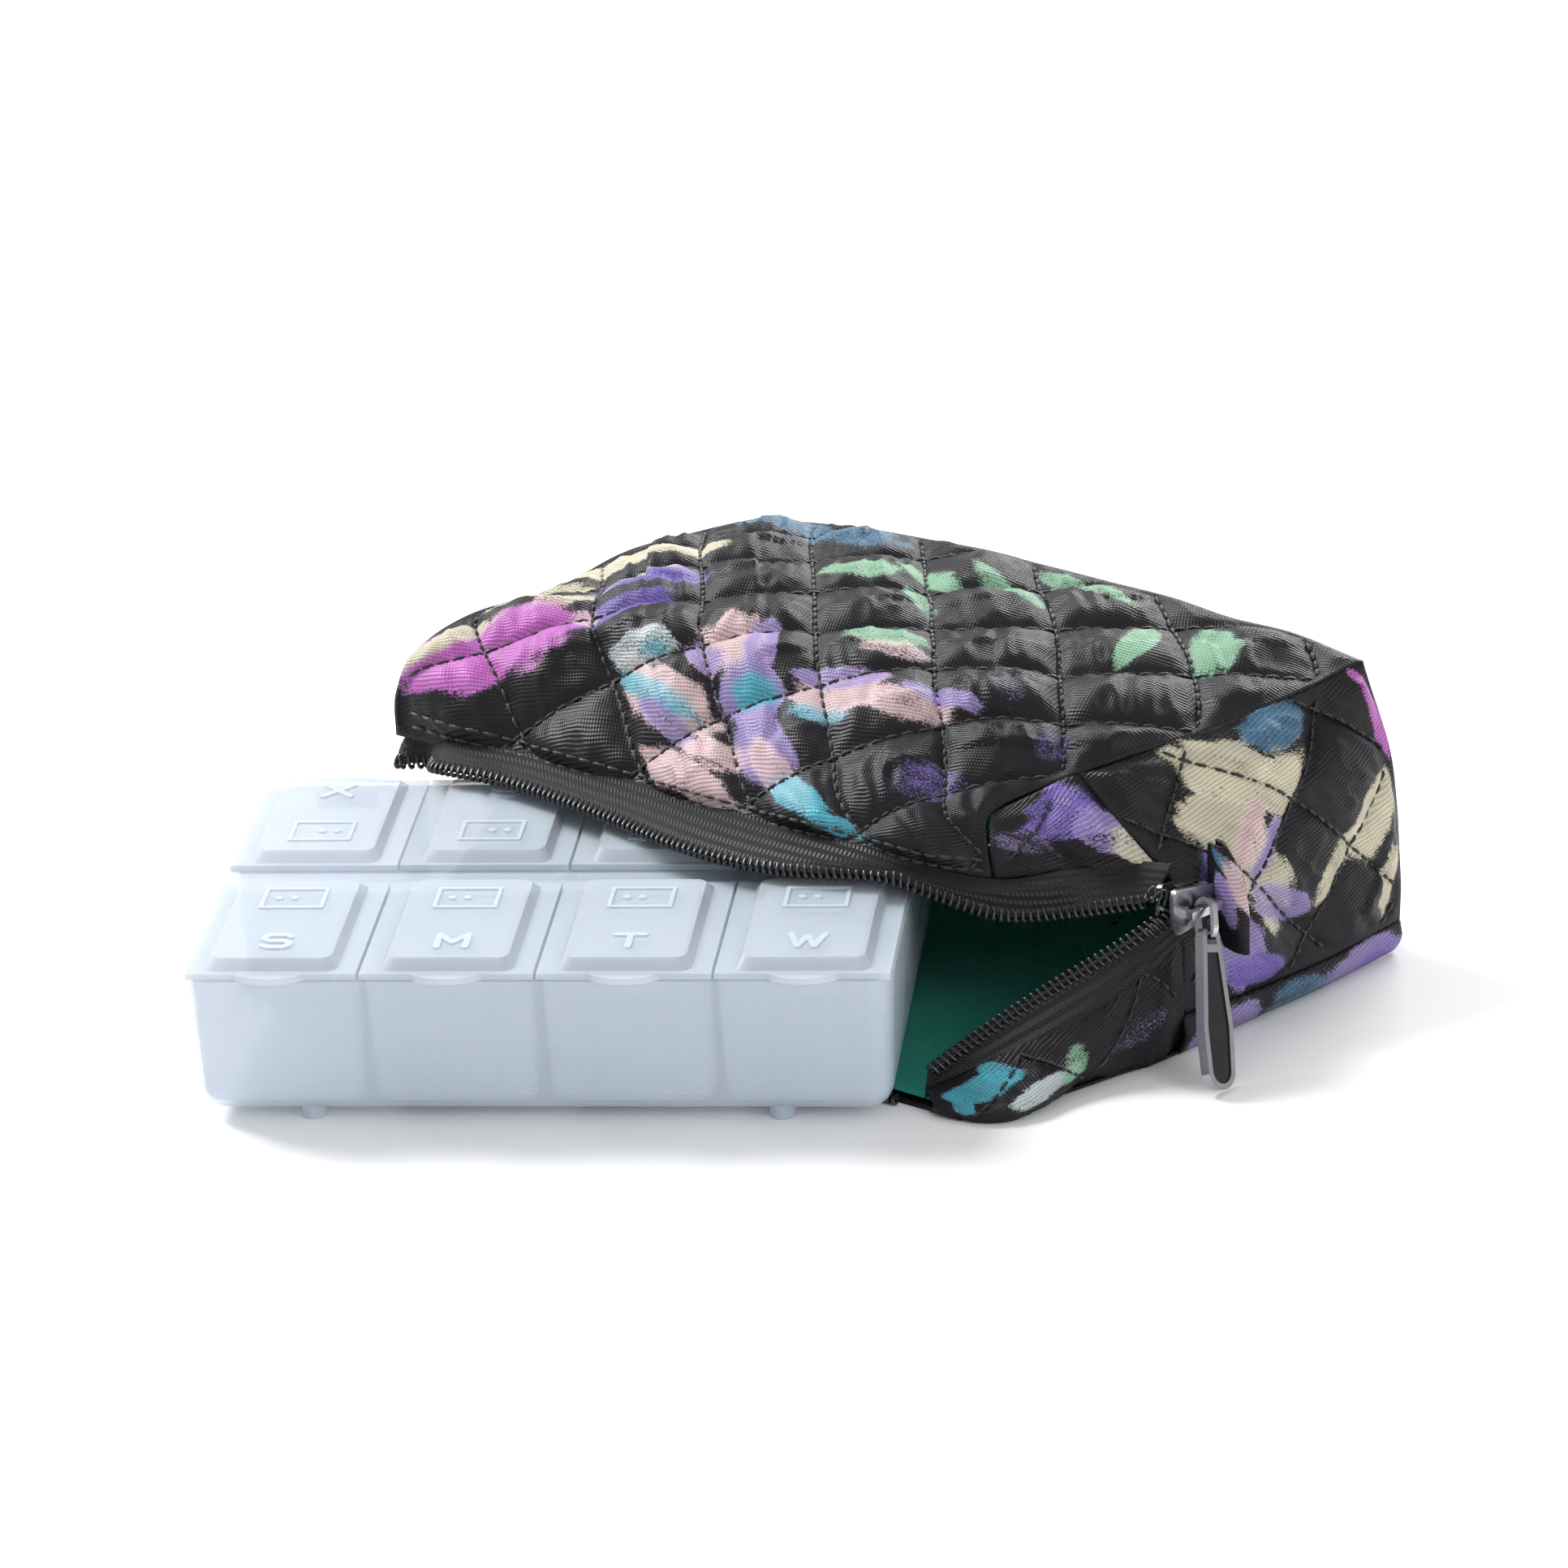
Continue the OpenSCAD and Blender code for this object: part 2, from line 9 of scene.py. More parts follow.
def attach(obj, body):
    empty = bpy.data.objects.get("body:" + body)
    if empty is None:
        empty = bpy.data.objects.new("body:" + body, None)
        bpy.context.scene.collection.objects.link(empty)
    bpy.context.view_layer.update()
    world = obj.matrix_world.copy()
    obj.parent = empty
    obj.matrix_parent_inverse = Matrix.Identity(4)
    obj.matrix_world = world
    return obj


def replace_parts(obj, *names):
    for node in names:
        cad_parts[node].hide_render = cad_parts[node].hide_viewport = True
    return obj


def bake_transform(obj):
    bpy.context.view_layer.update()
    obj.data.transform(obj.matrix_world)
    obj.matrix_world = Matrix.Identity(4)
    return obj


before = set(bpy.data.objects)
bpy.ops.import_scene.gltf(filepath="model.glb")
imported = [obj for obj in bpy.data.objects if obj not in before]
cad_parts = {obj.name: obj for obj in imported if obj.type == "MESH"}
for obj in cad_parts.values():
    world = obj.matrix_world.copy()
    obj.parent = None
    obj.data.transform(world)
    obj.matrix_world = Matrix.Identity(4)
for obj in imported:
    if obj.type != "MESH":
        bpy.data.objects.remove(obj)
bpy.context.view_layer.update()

# ---------------------------------------------------------------- measures, in millimetres
MM = 0.001
# Pouch: turn against the tray, middle and half sizes
POUCH_YAW = math.radians(-31.3)
HEART = np.array([3.0, 0.0, 25.0])
HALF_SIZE = np.array([64.0, 42.0, 26.0])
FLOOR_T = 0.8
# Quilting: distance between points, side of a diamond, height and fullness of its puff,
# share of that height by which the stitched lines sink, and drift of the lines
STEP = 0.7
QUILT_SIDE = 16.5
QUILT_DEPTH = 3.1
PUFF_POWER = 0.42
SUNK_SHARE = 0.62
LINE_DRIFT = 0.7
DRIFT_LENGTH = 30
SEAM_DEPTH = 0.8
SEAM_WIDTH = 4.0
SHELL_T = 0.9
BOTTOM_T = 0.4
BOTTOM_DEPTH = 0.4
LOWER_DEPTH = 1.2
GROUND_GAP = 0.05
STITCH_PITCH = 2.3
STITCH_R = 0.27
STITCH_EDGE = 1.2
LIP_ROWS = (1.6, 3.4)
LINING_DEPTH = 4.5
LINING_T = 0.25
LINING_STEP = 1.4
# Zipper: its ends on the right and left walls, tape and coil
ZIP_RIGHT = np.array([66.3, -8.6, 25.0])
ZIP_LEFT = np.array([-66.0, -8.0, 26.0])
WALL_YAW = math.radians(-11.5)
TAPE_T = 0.45
TAPE_PAST_SEAM = 1.8
COIL_PITCH = 1.15
COIL_TURN_POINTS = 12
COIL_R = 0.65
COIL_SHIFT = 0.4
COIL_WIDTH = 1.1
COIL_HEIGHT = 0.5
FLAT_COIL_HEIGHT = 0.36
WIRE_R = 0.27
WIRE_SWELL = 0.09
CORD_R = 0.36
TAB_T = 0.5
TAB_STRETCH = (1.4, 1, 1)
# The flap bends along this line, from the pouch's side to the flap's side
BEND_START = np.array([0.0, -8.6, 25.0])
BEND_END = BEND_START + np.array([0.0, -18.8, 13.2])

# Control lines of the pouch's panels in its own axes, as seen from outside:
# each line runs from left to right, and the lines follow each other downwards
BACK_EDGE = [
    (-52, 41, 51), (-30, 42, 53), (-8, 42.5, 53.5), (14, 42.5, 53),
    (36, 42, 52), (54, 41, 51), (68.5, 40, 49.5)]
FRONT_SEAM = [
    (-72, -32.6, 33), (-43, -31, 32), (-20, -31.6, 31.6), (2, -33, 32.2),
    (22, -32.8, 32.6), (32, -28.4, 29.8), (41, -23.2, 28)]
TOP = [
    BACK_EDGE,
    [(-59, 19, 52.5), (-35, 20, 54.8), (-12, 20, 54.5), (11, 20, 53),
     (33, 20, 50.5), (48, 20, 48.5), (61, 20, 46)],
    [(-62.5, -3, 51), (-40, -3, 54), (-18, -3, 53.5), (4, -3, 52),
     (24, -3, 49.5), (39, -3, 46.5), (50, -3, 43.5)],
    [(-68, -17, 50), (-43, -14, 51), (-20, -14, 49.5), (2, -14, 47.5),
     (21, -13, 45), (34, -12, 43), (44, -11, 41.5)],
    [(-71, -29, 46), (-44, -23, 43), (-21, -23.5, 41.5), (1, -25, 40.5),
     (19, -26, 39.5), (30, -24, 38.5), (38.5, -20, 38)],
    [(-72.5, -31.5, 39.5), (-44, -28.3, 37), (-20.8, -29, 36.5), (1.5, -30.6, 36.2),
     (20.6, -31, 36), (31.2, -27.4, 34), (40, -22.6, 33)],
    FRONT_SEAM,
]
BACK = [
    list(reversed(BACK_EDGE)),
    [(x, y + 2.2, z - 17) for x, y, z in reversed(BACK_EDGE)],
    [(x, y + 2.4, z - 32) for x, y, z in reversed(BACK_EDGE)],
    [(x * 1.02, 41.8, FLOOR_T) for x, y, z in reversed(BACK_EDGE)],
]
RIGHT_END = [
    [(46.5, -7.5, 42.6), (54.5, 6, 44.6), (61, 20, 46), (65.2, 31, 47.8), (68.5, 40, 49.5)],
    [(55, -8.5, 36), (62.5, 6, 36.5), (69, 20, 37), (71, 31, 37.5), (72, 40.5, 38)],
    [(64, -8.6, 29), (68.5, 6, 27), (71.6, 20, 26), (72.8, 31, 26), (73.3, 41, 26)],
    [(66.5, -9.4, 20), (69.8, 6, 16), (72.4, 20, 15), (73.4, 31, 15), (74, 41, 15)],
    [(67, -10, 6), (69.8, 6, 5.2), (72.4, 20, 5), (73.4, 31, 5), (74, 41, 5)],
]
RIGHT_STRIP = [
    RIGHT_END[-1],
    [(67.4, -10.3, 3), (70.2, 6, 2.6), (72.6, 20, 2.6), (73.6, 31, 2.6), (74, 40.8, 2.6)],
    [(65.4, -10.3, 0.2), (67.6, 6, 0.2), (70, 20, 0.2), (71.2, 31, 0.2), (72, 40, 0.2)],
]
FLAP_RIGHT = [
    [(38.5, -20, 38), (42.5, -14, 40.3), (46.5, -7.5, 42.6)],
    [(40.4, -22.8, 33.4), (47.4, -15.9, 35), (55, -8.5, 36)],
    [(41.2, -23.2, 28.3), (50, -17, 28.8), (63, -8.7, 29.2)],
]
LEFT_UPPER = [
    [(-52, 41, 51), (-59, 19, 52.5), (-62.5, -3, 51), (-68, -17, 50), (-71, -29, 46)],
    [(-54, 42.5, 44), (-62, 20, 44), (-66.4, -3, 43), (-71, -18, 42), (-72.6, -31.4, 39.8)],
    [(-56, 43, 33), (-63.5, 20, 33), (-67, -3, 32.6), (-71, -18, 32), (-72.2, -32.4, 33)],
]
LEFT_LOWER = [
    [(-56, 43, 34), (-63.5, 20, 34), (-66.4, -3, 33), (-66.2, -9, 22),
     (-67, -15, 15.5), (-67.5, -22, 9), (-67.5, -29, 3.2)],
    [(-55.6, 42.8, 18), (-63.2, 20, 18), (-66, -3, 17), (-66.5, -9, 12),
     (-67.3, -15, 8.4), (-67.6, -22, 5), (-67.4, -29, 2)],
    [(-53, 41.8, 0.8), (-58, 20, 0.8), (-61.3, -3, 0.8), (-62.2, -9, 0.8),
     (-63.5, -15, 0.8), (-65, -22, 0.8), (-66.2, -29, 0.8)],
]
LOWER_SEAM = [
    (43.5, -46, 2.6), (47, -40.5, 4), (51.5, -34, 6.5), (56, -28, 9.5),
    (60.5, -22.5, 13), (64.5, -17, 17.5), (66.4, -9.4, 20.5)]
LOWER_RIGHT = [
    LOWER_SEAM,
    [(46, -48.2, 2.4), (51, -43.5, 3.4), (55.5, -36, 5.2), (59, -28.5, 7),
     (62.6, -22.3, 9.4), (65.4, -16, 12.2), (67, -9.8, 14)],
    [(47, -49.2, 1.6), (54.5, -47, 2), (59.2, -41, 2.6), (61.4, -32, 3.4),
     (63.6, -24, 4.4), (65.8, -16.5, 5.4), (67.2, -10, 6)],
    [(46, -48.8, 0.2), (54, -47, 0.2), (58, -41, 0.2), (59.6, -32, 0.2),
     (61.4, -24, 0.2), (63.4, -16.5, 0.2), (65.4, -10.3, 0.2)],
]
BOTTOM = [
    [(56, -42, 0), (52, -47, 0), (18, -46.5, 0), (-20, -45.6, 0), (-63, -45, 0)],
    [(59, -34, 0), (38, -34, 0), (0, -34, 0), (-36, -34, 0), (-66, -34, 0)],
    [(65.6, -12, 0), (34, -12, 0), (0, -12, 0), (-34, -12, 0), (-63, -12, 0)],
    [(68.6, 14, 0), (34, 14, 0), (5, 14, 0), (-30, 14, 0), (-58.6, 14, 0)],
    [(71.6, 41.6, 0), (40, 41.8, 0), (8, 41.8, 0), (-24, 41.8, 0), (-53, 41.6, 0)],
]

# The zipper: each row of coil and the seam that its tape is sewn into
UPPER_SEAM = [
    (-67, -13, 31.5), (-69.5, -21, 32.5), (-69.6, -29.4, 33.5), (-65, -29.7, 34),
    (-58.5, -30, 34), (-42, -28, 33.8), (-20, -29.3, 33.2), (2, -31.8, 33),
    (22, -32.3, 32.8), (32, -28.3, 29.8), (41, -23.3, 27.8), (49, -17.5, 28.5),
    (57, -11.5, 29.3), (64, -9.5, 29.5)]
UPPER_ROW = [
    (-66.8, -13, 26.8), (-69.8, -22, 27.4), (-71, -32, 28), (-65.7, -30.4, 28.4),
    (-60, -35.5, 30.5), (-46, -34.5, 30.5), (-24, -37, 30.2), (-6, -40, 29.8),
    (11, -39, 29.4), (26.5, -33, 29.4), (34.5, -28.8, 26.5), (42.5, -23.5, 23),
    (52, -17.5, 23.5), (62, -13.2, 25.6)]
LOWER_ROW = [
    (42.7, -44.1, 5.2), (44.9, -36.1, 7.8), (48.4, -30.1, 11), (52.9, -24.9, 14.6),
    (57.9, -20.1, 18.3), (61.9, -16.4, 21.4), (64.6, -13.2, 24)]
FLAT_ROW = [(-63, -46, COIL_R), (-20, -46.5, COIL_R), (20, -47, COIL_R), (39, -47.5, COIL_R)]

# ---------------------------------------------------------------- geometry helpers


def to_row(p):
    """Points of the pouch's own axes, in mm, to the row frame in metres."""
    p = np.asarray(p, float)
    c, s = math.cos(POUCH_YAW), math.sin(POUCH_YAW)
    out = np.empty_like(p)
    out[..., 0] = c * p[..., 0] - s * p[..., 1]
    out[..., 1] = s * p[..., 0] + c * p[..., 1]
    out[..., 2] = p[..., 2]
    return out * MM


def unit(v):
    return v / np.maximum(np.linalg.norm(v, axis=-1, keepdims=True), 1e-9)


def smooth_step(t):
    t = np.clip(t, 0, 1)
    return t * t * (3 - 2 * t)


def spline(points, knots, at):
    """Smooth curve through points (first axis) at the given knots."""
    points = np.asarray(points, float)
    slope = np.empty_like(points)
    gap = (knots[2:] - knots[:-2]).reshape((-1,) + (1,) * (points.ndim - 1))
    slope[1:-1] = (points[2:] - points[:-2]) / gap
    slope[0] = (points[1] - points[0]) / (knots[1] - knots[0])
    slope[-1] = (points[-1] - points[-2]) / (knots[-1] - knots[-2])
    i = np.clip(np.searchsorted(knots, at, side="right") - 1, 0, len(knots) - 2)
    span = knots[i + 1] - knots[i]
    shape = (-1,) + (1,) * (points.ndim - 1)
    t, span = ((at - knots[i]) / span).reshape(shape), span.reshape(shape)
    h00, h10 = 2 * t**3 - 3 * t**2 + 1, t**3 - 2 * t**2 + t
    h01, h11 = -2 * t**3 + 3 * t**2, t**3 - t**2
    return h00 * points[i] + h10 * span * slope[i] + h01 * points[i + 1] + h11 * span * slope[i + 1]


def knots_of(grid):
    """Cumulated mean distance along the first axis."""
    step = np.linalg.norm(np.diff(grid, axis=0), axis=-1)
    if step.ndim > 1:
        step = step.mean(axis=1)
    return np.concatenate([[0], np.cumsum(step)])


def noise(x, y, seed):
    """Smooth value noise from -1 to 1, the same on every run."""
    xi, yi = np.floor(x).astype(int), np.floor(y).astype(int)
    fx, fy = smooth_step(x - xi), smooth_step(y - yi)

    def corner(a, b):
        n = (a * 374761 + b * 668265 + seed * 95747) & 0x7FFFFFFF
        n = ((n ^ (n >> 13)) * 12743) & 0x7FFFFFFF
        n = ((n ^ (n >> 9)) * 30253) & 0x7FFFFFFF
        return (n % 10007) / 5003.0 - 1

    low = corner(xi, yi) * (1 - fx) + corner(xi + 1, yi) * fx
    high = corner(xi, yi + 1) * (1 - fx) + corner(xi + 1, yi + 1) * fx
    return low * (1 - fy) + high * fy


def layered(x, y, size, seed):
    """Two layers of noise, the first one as wide as the given size."""
    x, y = x / size, y / size
    return noise(x, y, seed) * 0.6 + noise(x * 2.1, y * 2.1, seed + 7) * 0.4


class Panel:
    """A sheet through control lines: its points, outward normals and cloth measures in mm."""

    def __init__(self, lines, step=STEP):
        grid = np.array(lines, float)
        rows, columns = knots_of(grid), knots_of(grid.transpose(1, 0, 2))
        self.width, self.length = columns[-1], rows[-1]
        across = np.linspace(0, columns[-1], max(3, int(columns[-1] / step) + 1))
        down = np.linspace(0, rows[-1], max(3, int(rows[-1] / step) + 1))
        wide = spline(grid.transpose(1, 0, 2), columns, across).transpose(1, 0, 2)
        self.points = spline(wide, rows, down)
        self.u, self.v = np.meshgrid(across, down)
        self.across, self.down = across, down
        self.base = self.points.copy()

    def normals(self):
        return unit(np.cross(np.gradient(self.points, axis=0), np.gradient(self.points, axis=1)))

    def inwards(self):
        return unit((HEART - self.base) / HALF_SIZE)

    def to_border(self, sides):
        """Distance to the nearest of the named borders: t, b, l, r."""
        each = {"t": self.v, "b": self.length - self.v, "l": self.u, "r": self.width - self.u}
        return np.min([each[s] for s in sides], axis=0)

    def at(self, u, v):
        """Points on the sheet at cloth measures u and v."""
        i = np.clip(u / self.width * (len(self.across) - 1), 0, len(self.across) - 1.001)
        j = np.clip(v / self.length * (len(self.down) - 1), 0, len(self.down) - 1.001)
        i0, j0 = i.astype(int), j.astype(int)
        fi, fj = (i - i0)[:, None], (j - j0)[:, None]
        p = self.points
        return ((p[j0, i0] * (1 - fi) + p[j0, i0 + 1] * fi) * (1 - fj)
                + (p[j0 + 1, i0] * (1 - fi) + p[j0 + 1, i0 + 1] * fi) * fj)


def quilt(panel, phase, sides, depth, seed):
    """Presses the diamond quilting, the seams and the creases into a panel."""
    u, v = panel.u, panel.v
    bent_u = u + LINE_DRIFT * layered(u, v, DRIFT_LENGTH, seed + 3)
    bent_v = v + LINE_DRIFT * layered(u, v, DRIFT_LENGTH, seed + 4)
    a = (bent_u + bent_v) / math.sqrt(2) / QUILT_SIDE + phase[0]
    b = (bent_u - bent_v) / math.sqrt(2) / QUILT_SIDE + phase[1]
    panel.diamonds = (phase, seed)
    da = np.abs(a - np.round(a)) * QUILT_SIDE
    db = np.abs(b - np.round(b)) * QUILT_SIDE
    near = np.minimum(da, db)
    puff = (np.sin(np.pi * da / QUILT_SIDE) * np.sin(np.pi * db / QUILT_SIDE)) ** PUFF_POWER
    # Small puckers along the stitches, then a height of its own for each diamond, then
    # soft waves and sharper creases between the stitched lines
    pucker = np.exp(-near / 2.6) * (1 - np.exp(-near / 0.5))
    ripple = noise(u / 1.9, v / 1.9, seed + 11) * 0.42 * pucker
    cell = noise(np.round(a) * 3.3, np.round(b) * 3.3, seed + 2) * 0.22
    bend = 0.6 * noise(u / 7, v / 7, seed)
    crease = np.abs(noise((u + v) / 9 + bend, (u - v) / 3.2, seed + 21))
    wave = (layered(u, v, 14, seed + 5) * 0.8 + (0.35 - crease) * 0.9) * depth / QUILT_DEPTH
    height = (puff * (1 + cell) * depth + ripple + wave * np.clip(near / 4, 0, 1)
              - SUNK_SHARE * depth)
    inner = smooth_step(panel.to_border(sides) / SEAM_WIDTH)[..., None]
    panel.points = (panel.points + panel.normals() * (height[..., None] * inner)
                    + panel.inwards() * ((1 - inner) * SEAM_DEPTH + sway(panel)))
    panel.points[..., 2] = np.maximum(panel.points[..., 2], GROUND_GAP)


def sway(panel):
    """Slight waves of the seams, alike for panels that meet."""
    x, y, z = (panel.base[..., i] for i in range(3))
    return (0.56 * noise(x / 12 + z / 15, y / 12 - z / 17, 77) + 0.28)[..., None]


def add_object(name, vertices, faces, material):
    mesh = bpy.data.meshes.new(name)
    mesh.from_pydata([tuple(p) for p in vertices], [], [tuple(f) for f in faces])
    mesh.polygons.foreach_set("use_smooth", [True] * len(mesh.polygons))
    mesh.update()
    mesh.materials.append(material)
    obj = bpy.data.objects.new(name, mesh)
    bpy.context.scene.collection.objects.link(obj)
    return obj


def panel_object(name, panel, material, thickness=SHELL_T):
    n, m = panel.u.shape
    index = np.arange(n * m).reshape(n, m)
    faces = np.stack([index[:-1, :-1], index[1:, :-1], index[1:, 1:], index[:-1, 1:]], -1)
    obj = add_object(name, to_row(panel.points).reshape(-1, 3), faces.reshape(-1, 4).tolist(),
                     material)
    cloth = np.stack([panel.u.ravel(), panel.v.ravel(), np.zeros(n * m)], -1)
    layer = obj.data.attributes.new("cloth", "FLOAT_VECTOR", "POINT")
    layer.data.foreach_set("vector", cloth.astype(np.float32).ravel())
    solid = obj.modifiers.new("thickness", "SOLIDIFY")
    solid.thickness = thickness * MM
    solid.offset = -1
    return obj


def follow(obj, bends):
    """The piece stays with the pouch; with bends set, only its placement is baked into its mesh and
    nothing bends it.
    """
    if bends:
        start, end = tuple(to_row(BEND_START)), tuple(to_row(BEND_END))
        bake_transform(obj)
    else:
        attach(obj, "pouch")


def tube(name, path, radii, material):
    """Round tube along points in the row frame, closed at both ends."""
    sides = 6
    tangent = unit(np.gradient(path, axis=0))
    upright = np.abs(tangent[:, 2:]) > 0.9
    side = unit(np.cross(tangent, np.where(upright, [[1.0, 0, 0]], [[0, 0, 1.0]])))
    up = np.cross(side, tangent)
    turn = np.linspace(0, 2 * np.pi, sides, endpoint=False)[None, :, None]
    spoke = side[:, None] * np.cos(turn) + up[:, None] * np.sin(turn)
    ring = path[:, None] + radii[:, None, None] * spoke
    index = np.arange(len(path) * sides).reshape(-1, sides)
    after = np.roll(index, -1, axis=1)
    quads = np.stack([index[:-1], index[1:], after[1:], after[:-1]], -1).reshape(-1, 4).tolist()
    ends = [index[0].tolist(), index[-1][::-1].tolist()]
    return add_object(name, ring.reshape(-1, 3), quads + ends, material)


# ---------------------------------------------------------------- materials


class Nodes:
    """Short calls for building a material's nodes."""

    def __init__(self, name):
        self.material = bpy.data.materials.new(name)
        self.material.use_nodes = True
        self.tree = self.material.node_tree
        self.shader = self.tree.nodes["Principled BSDF"]

    def node(self, kind, inputs=None, **settings):
        made = self.tree.nodes.new(kind)
        for key, value in settings.items():
            setattr(made, key, value)
        for key, value in (inputs or {}).items():
            self.plug(made.inputs[key], value)
        return made

    def plug(self, socket, value):
        if isinstance(value, bpy.types.NodeSocket):
            self.tree.links.new(value, socket)
        else:
            socket.default_value = value

    def math(self, operation, a, b=0.0, c=0.0):
        return self.node("ShaderNodeMath", {0: a, 1: b, 2: c}, operation=operation).outputs[0]

    def mix(self, factor, a, b):
        made = self.node("ShaderNodeMix", data_type="RGBA")
        self.plug(made.inputs["Factor"], factor)
        self.plug(made.inputs["A"], a)
        self.plug(made.inputs["B"], b)
        return made.outputs["Result"]

    def noise(self, vector, scale, detail=2.0, rough=0.5):
        made = self.node("ShaderNodeTexNoise", {
            "Vector": vector, "Scale": scale, "Detail": detail, "Roughness": rough})
        return made.outputs["Fac"]

    def ramp(self, value, low, high):
        made = self.node("ShaderNodeMapRange", {"Value": value, "From Min": low, "From Max": high},
                         interpolation_type="SMOOTHSTEP")
        return made.outputs["Result"]

    def set(self, **values):
        for key, value in values.items():
            self.plug(self.shader.inputs[key.replace("_", " ")], value)

    def bump(self, height, distance, strength=1.0):
        made = self.node("ShaderNodeBump", {
            "Height": height, "Distance": distance, "Strength": strength})
        self.plug(self.shader.inputs["Normal"], made.outputs["Normal"])

    def attribute(self, name):
        return self.node("ShaderNodeAttribute", attribute_name=name)

    def axes(self, vector):
        return self.node("ShaderNodeSeparateXYZ", {"Vector": vector}).outputs

    def object_mm(self):
        """Place on the piece in mm."""
        where = self.node("ShaderNodeTexCoord").outputs["Object"]
        return self.node("ShaderNodeVectorMath", {0: where, 1: (1000, 1000, 1000)},
                         operation="MULTIPLY").outputs[0]


def ribs(nodes, across, pitch):
    """Ridges from 0 to 1 along one direction."""
    wave = nodes.math("SINE", nodes.math("MULTIPLY", across, 2 * math.pi / pitch))
    return nodes.math("MULTIPLY_ADD", wave, 0.5, 0.5)


def printed_satin():
    """Black satin twill with a brushed print, whose colours come with the mesh."""
    n = Nodes("printed_satin")
    cloth = n.attribute("cloth").outputs["Vector"]
    ink = n.attribute("ink")
    u, v = n.axes(cloth)[0], n.axes(cloth)[1]
    drift = n.noise(cloth, 0.09, 2.0)
    lean = n.math("MULTIPLY_ADD", drift, 2.4, v)
    rib = ribs(n, n.math("MULTIPLY_ADD", u, 0.32, lean), 0.66)
    thread = ribs(n, n.math("MULTIPLY_ADD", v, -0.5, u), 0.52)
    weave = n.math("MULTIPLY_ADD", thread, 0.45, rib)
    stretched = n.node("ShaderNodeMapping", {"Vector": cloth, "Scale": (1.2, 3.2, 1)}).outputs[0]
    speckle = n.noise(stretched, 1.5, 3.0, 0.75)
    soft = n.noise(cloth, 0.35, 3.0, 0.6)
    worn = n.math("MULTIPLY_ADD", n.math("SUBTRACT", speckle, 0.52), 2.0, ink.outputs["Alpha"])
    cover = n.ramp(n.math("MULTIPLY_ADD", n.math("SUBTRACT", soft, 0.5), 0.5, worn), 0.34, 0.66)
    black = n.mix(soft, (0.0035, 0.003, 0.005, 1), (0.007, 0.006, 0.009, 1))
    tinted = n.mix(n.math("MULTIPLY", n.ramp(speckle, 0.3, 0.8), 0.3), ink.outputs["Color"],
                   (0.55, 0.5, 0.52, 1))
    colour = n.mix(cover, black, tinted)
    # Painted sheen and shade: the weave's ribs stay lighter and its grooves are mixed towards black.
    painted_sheen_colour = n.mix(n.math("MULTIPLY_ADD", weave, -0.32, 0.46), colour, (0.004, 0.004, 0.006, 1))
    n.set(Base_Color=painted_sheen_colour, Roughness=n.math("MULTIPLY_ADD", soft, 0.12, 0.36),
          Specular_IOR_Level=0.27)
    n.bump(n.math("MULTIPLY_ADD", n.noise(cloth, 2.2, 2.0), 0.35, weave), 0.00008, 0.7)
    return n.material


def lining_cloth():
    """Plain green weave with scattered small dots."""
    n = Nodes("lining_cloth")
    cloth = n.attribute("cloth").outputs["Vector"]
    u, v = n.axes(cloth)[0], n.axes(cloth)[1]
    weave = n.math("MULTIPLY", ribs(n, u, 0.5), ribs(n, v, 0.5))
    dots = n.node("ShaderNodeTexVoronoi", {"Vector": cloth, "Scale": 0.13, "Randomness": 0.8})
    size = n.math("MULTIPLY_ADD", n.axes(dots.outputs["Color"])[0], 0.09, 0.04)
    spot = n.ramp(n.math("SUBTRACT", size, dots.outputs["Distance"]), 0.0, 0.02)
    dark = n.mix(n.ramp(n.axes(dots.outputs["Color"])[1], 0.45, 0.55),
                 (0.004, 0.010, 0.012, 1), (0.085, 0.055, 0.028, 1))
    green = n.mix(weave, (0.0, 0.24, 0.17, 1), (0.008, 0.55, 0.40, 1))
    n.set(Base_Color=n.mix(n.math("MULTIPLY", spot, 0.85), green, dark), Roughness=0.62,
          Sheen_Weight=0.15)
    n.bump(weave, 0.00008, 0.7)
    return n.material


def zip_tape_cloth():
    """Black herringbone tape: ribs that turn every few millimetres."""
    n = Nodes("zip_tape_cloth")
    u, v = (n.axes(n.attribute("cloth").outputs["Vector"])[i] for i in (0, 1))
    zigzag = n.math("ABSOLUTE", n.math("SUBTRACT", n.math("FRACT", n.math("DIVIDE", v, 1.7)), 0.5))
    rib = ribs(n, n.math("MULTIPLY_ADD", zigzag, 2.4, u), 0.75)
    n.set(Base_Color=n.mix(rib, (0.002, 0.002, 0.003, 1), (0.011, 0.011, 0.013, 1)),
          Roughness=n.math("MULTIPLY_ADD", rib, -0.12, 0.56), Specular_IOR_Level=0.4)
    n.bump(rib, 0.00016, 0.9)
    return n.material


def coil_nylon():
    """Glossy black monofilament."""
    n = Nodes("coil_nylon")
    grain = n.noise(n.object_mm(), 1.2, 2.0)
    n.set(Base_Color=n.mix(grain, (0.010, 0.010, 0.012, 1), (0.022, 0.022, 0.026, 1)),
          Roughness=n.math("MULTIPLY_ADD", grain, 0.16, 0.2), Coat_Weight=0.3, Coat_Roughness=0.15)
    return n.material


def stitch_thread():
    """Waxed black sewing thread with its twist."""
    n = Nodes("stitch_thread")
    x, y, z = (n.axes(n.object_mm())[i] for i in (0, 1, 2))
    twist = ribs(n, n.math("ADD", n.math("ADD", x, y), z), 0.42)
    n.set(Base_Color=n.mix(twist, (0.003, 0.003, 0.004, 1), (0.02, 0.02, 0.024, 1)), Roughness=0.42,
          Sheen_Weight=0.2)
    n.bump(twist, 0.00006, 0.8)
    return n.material


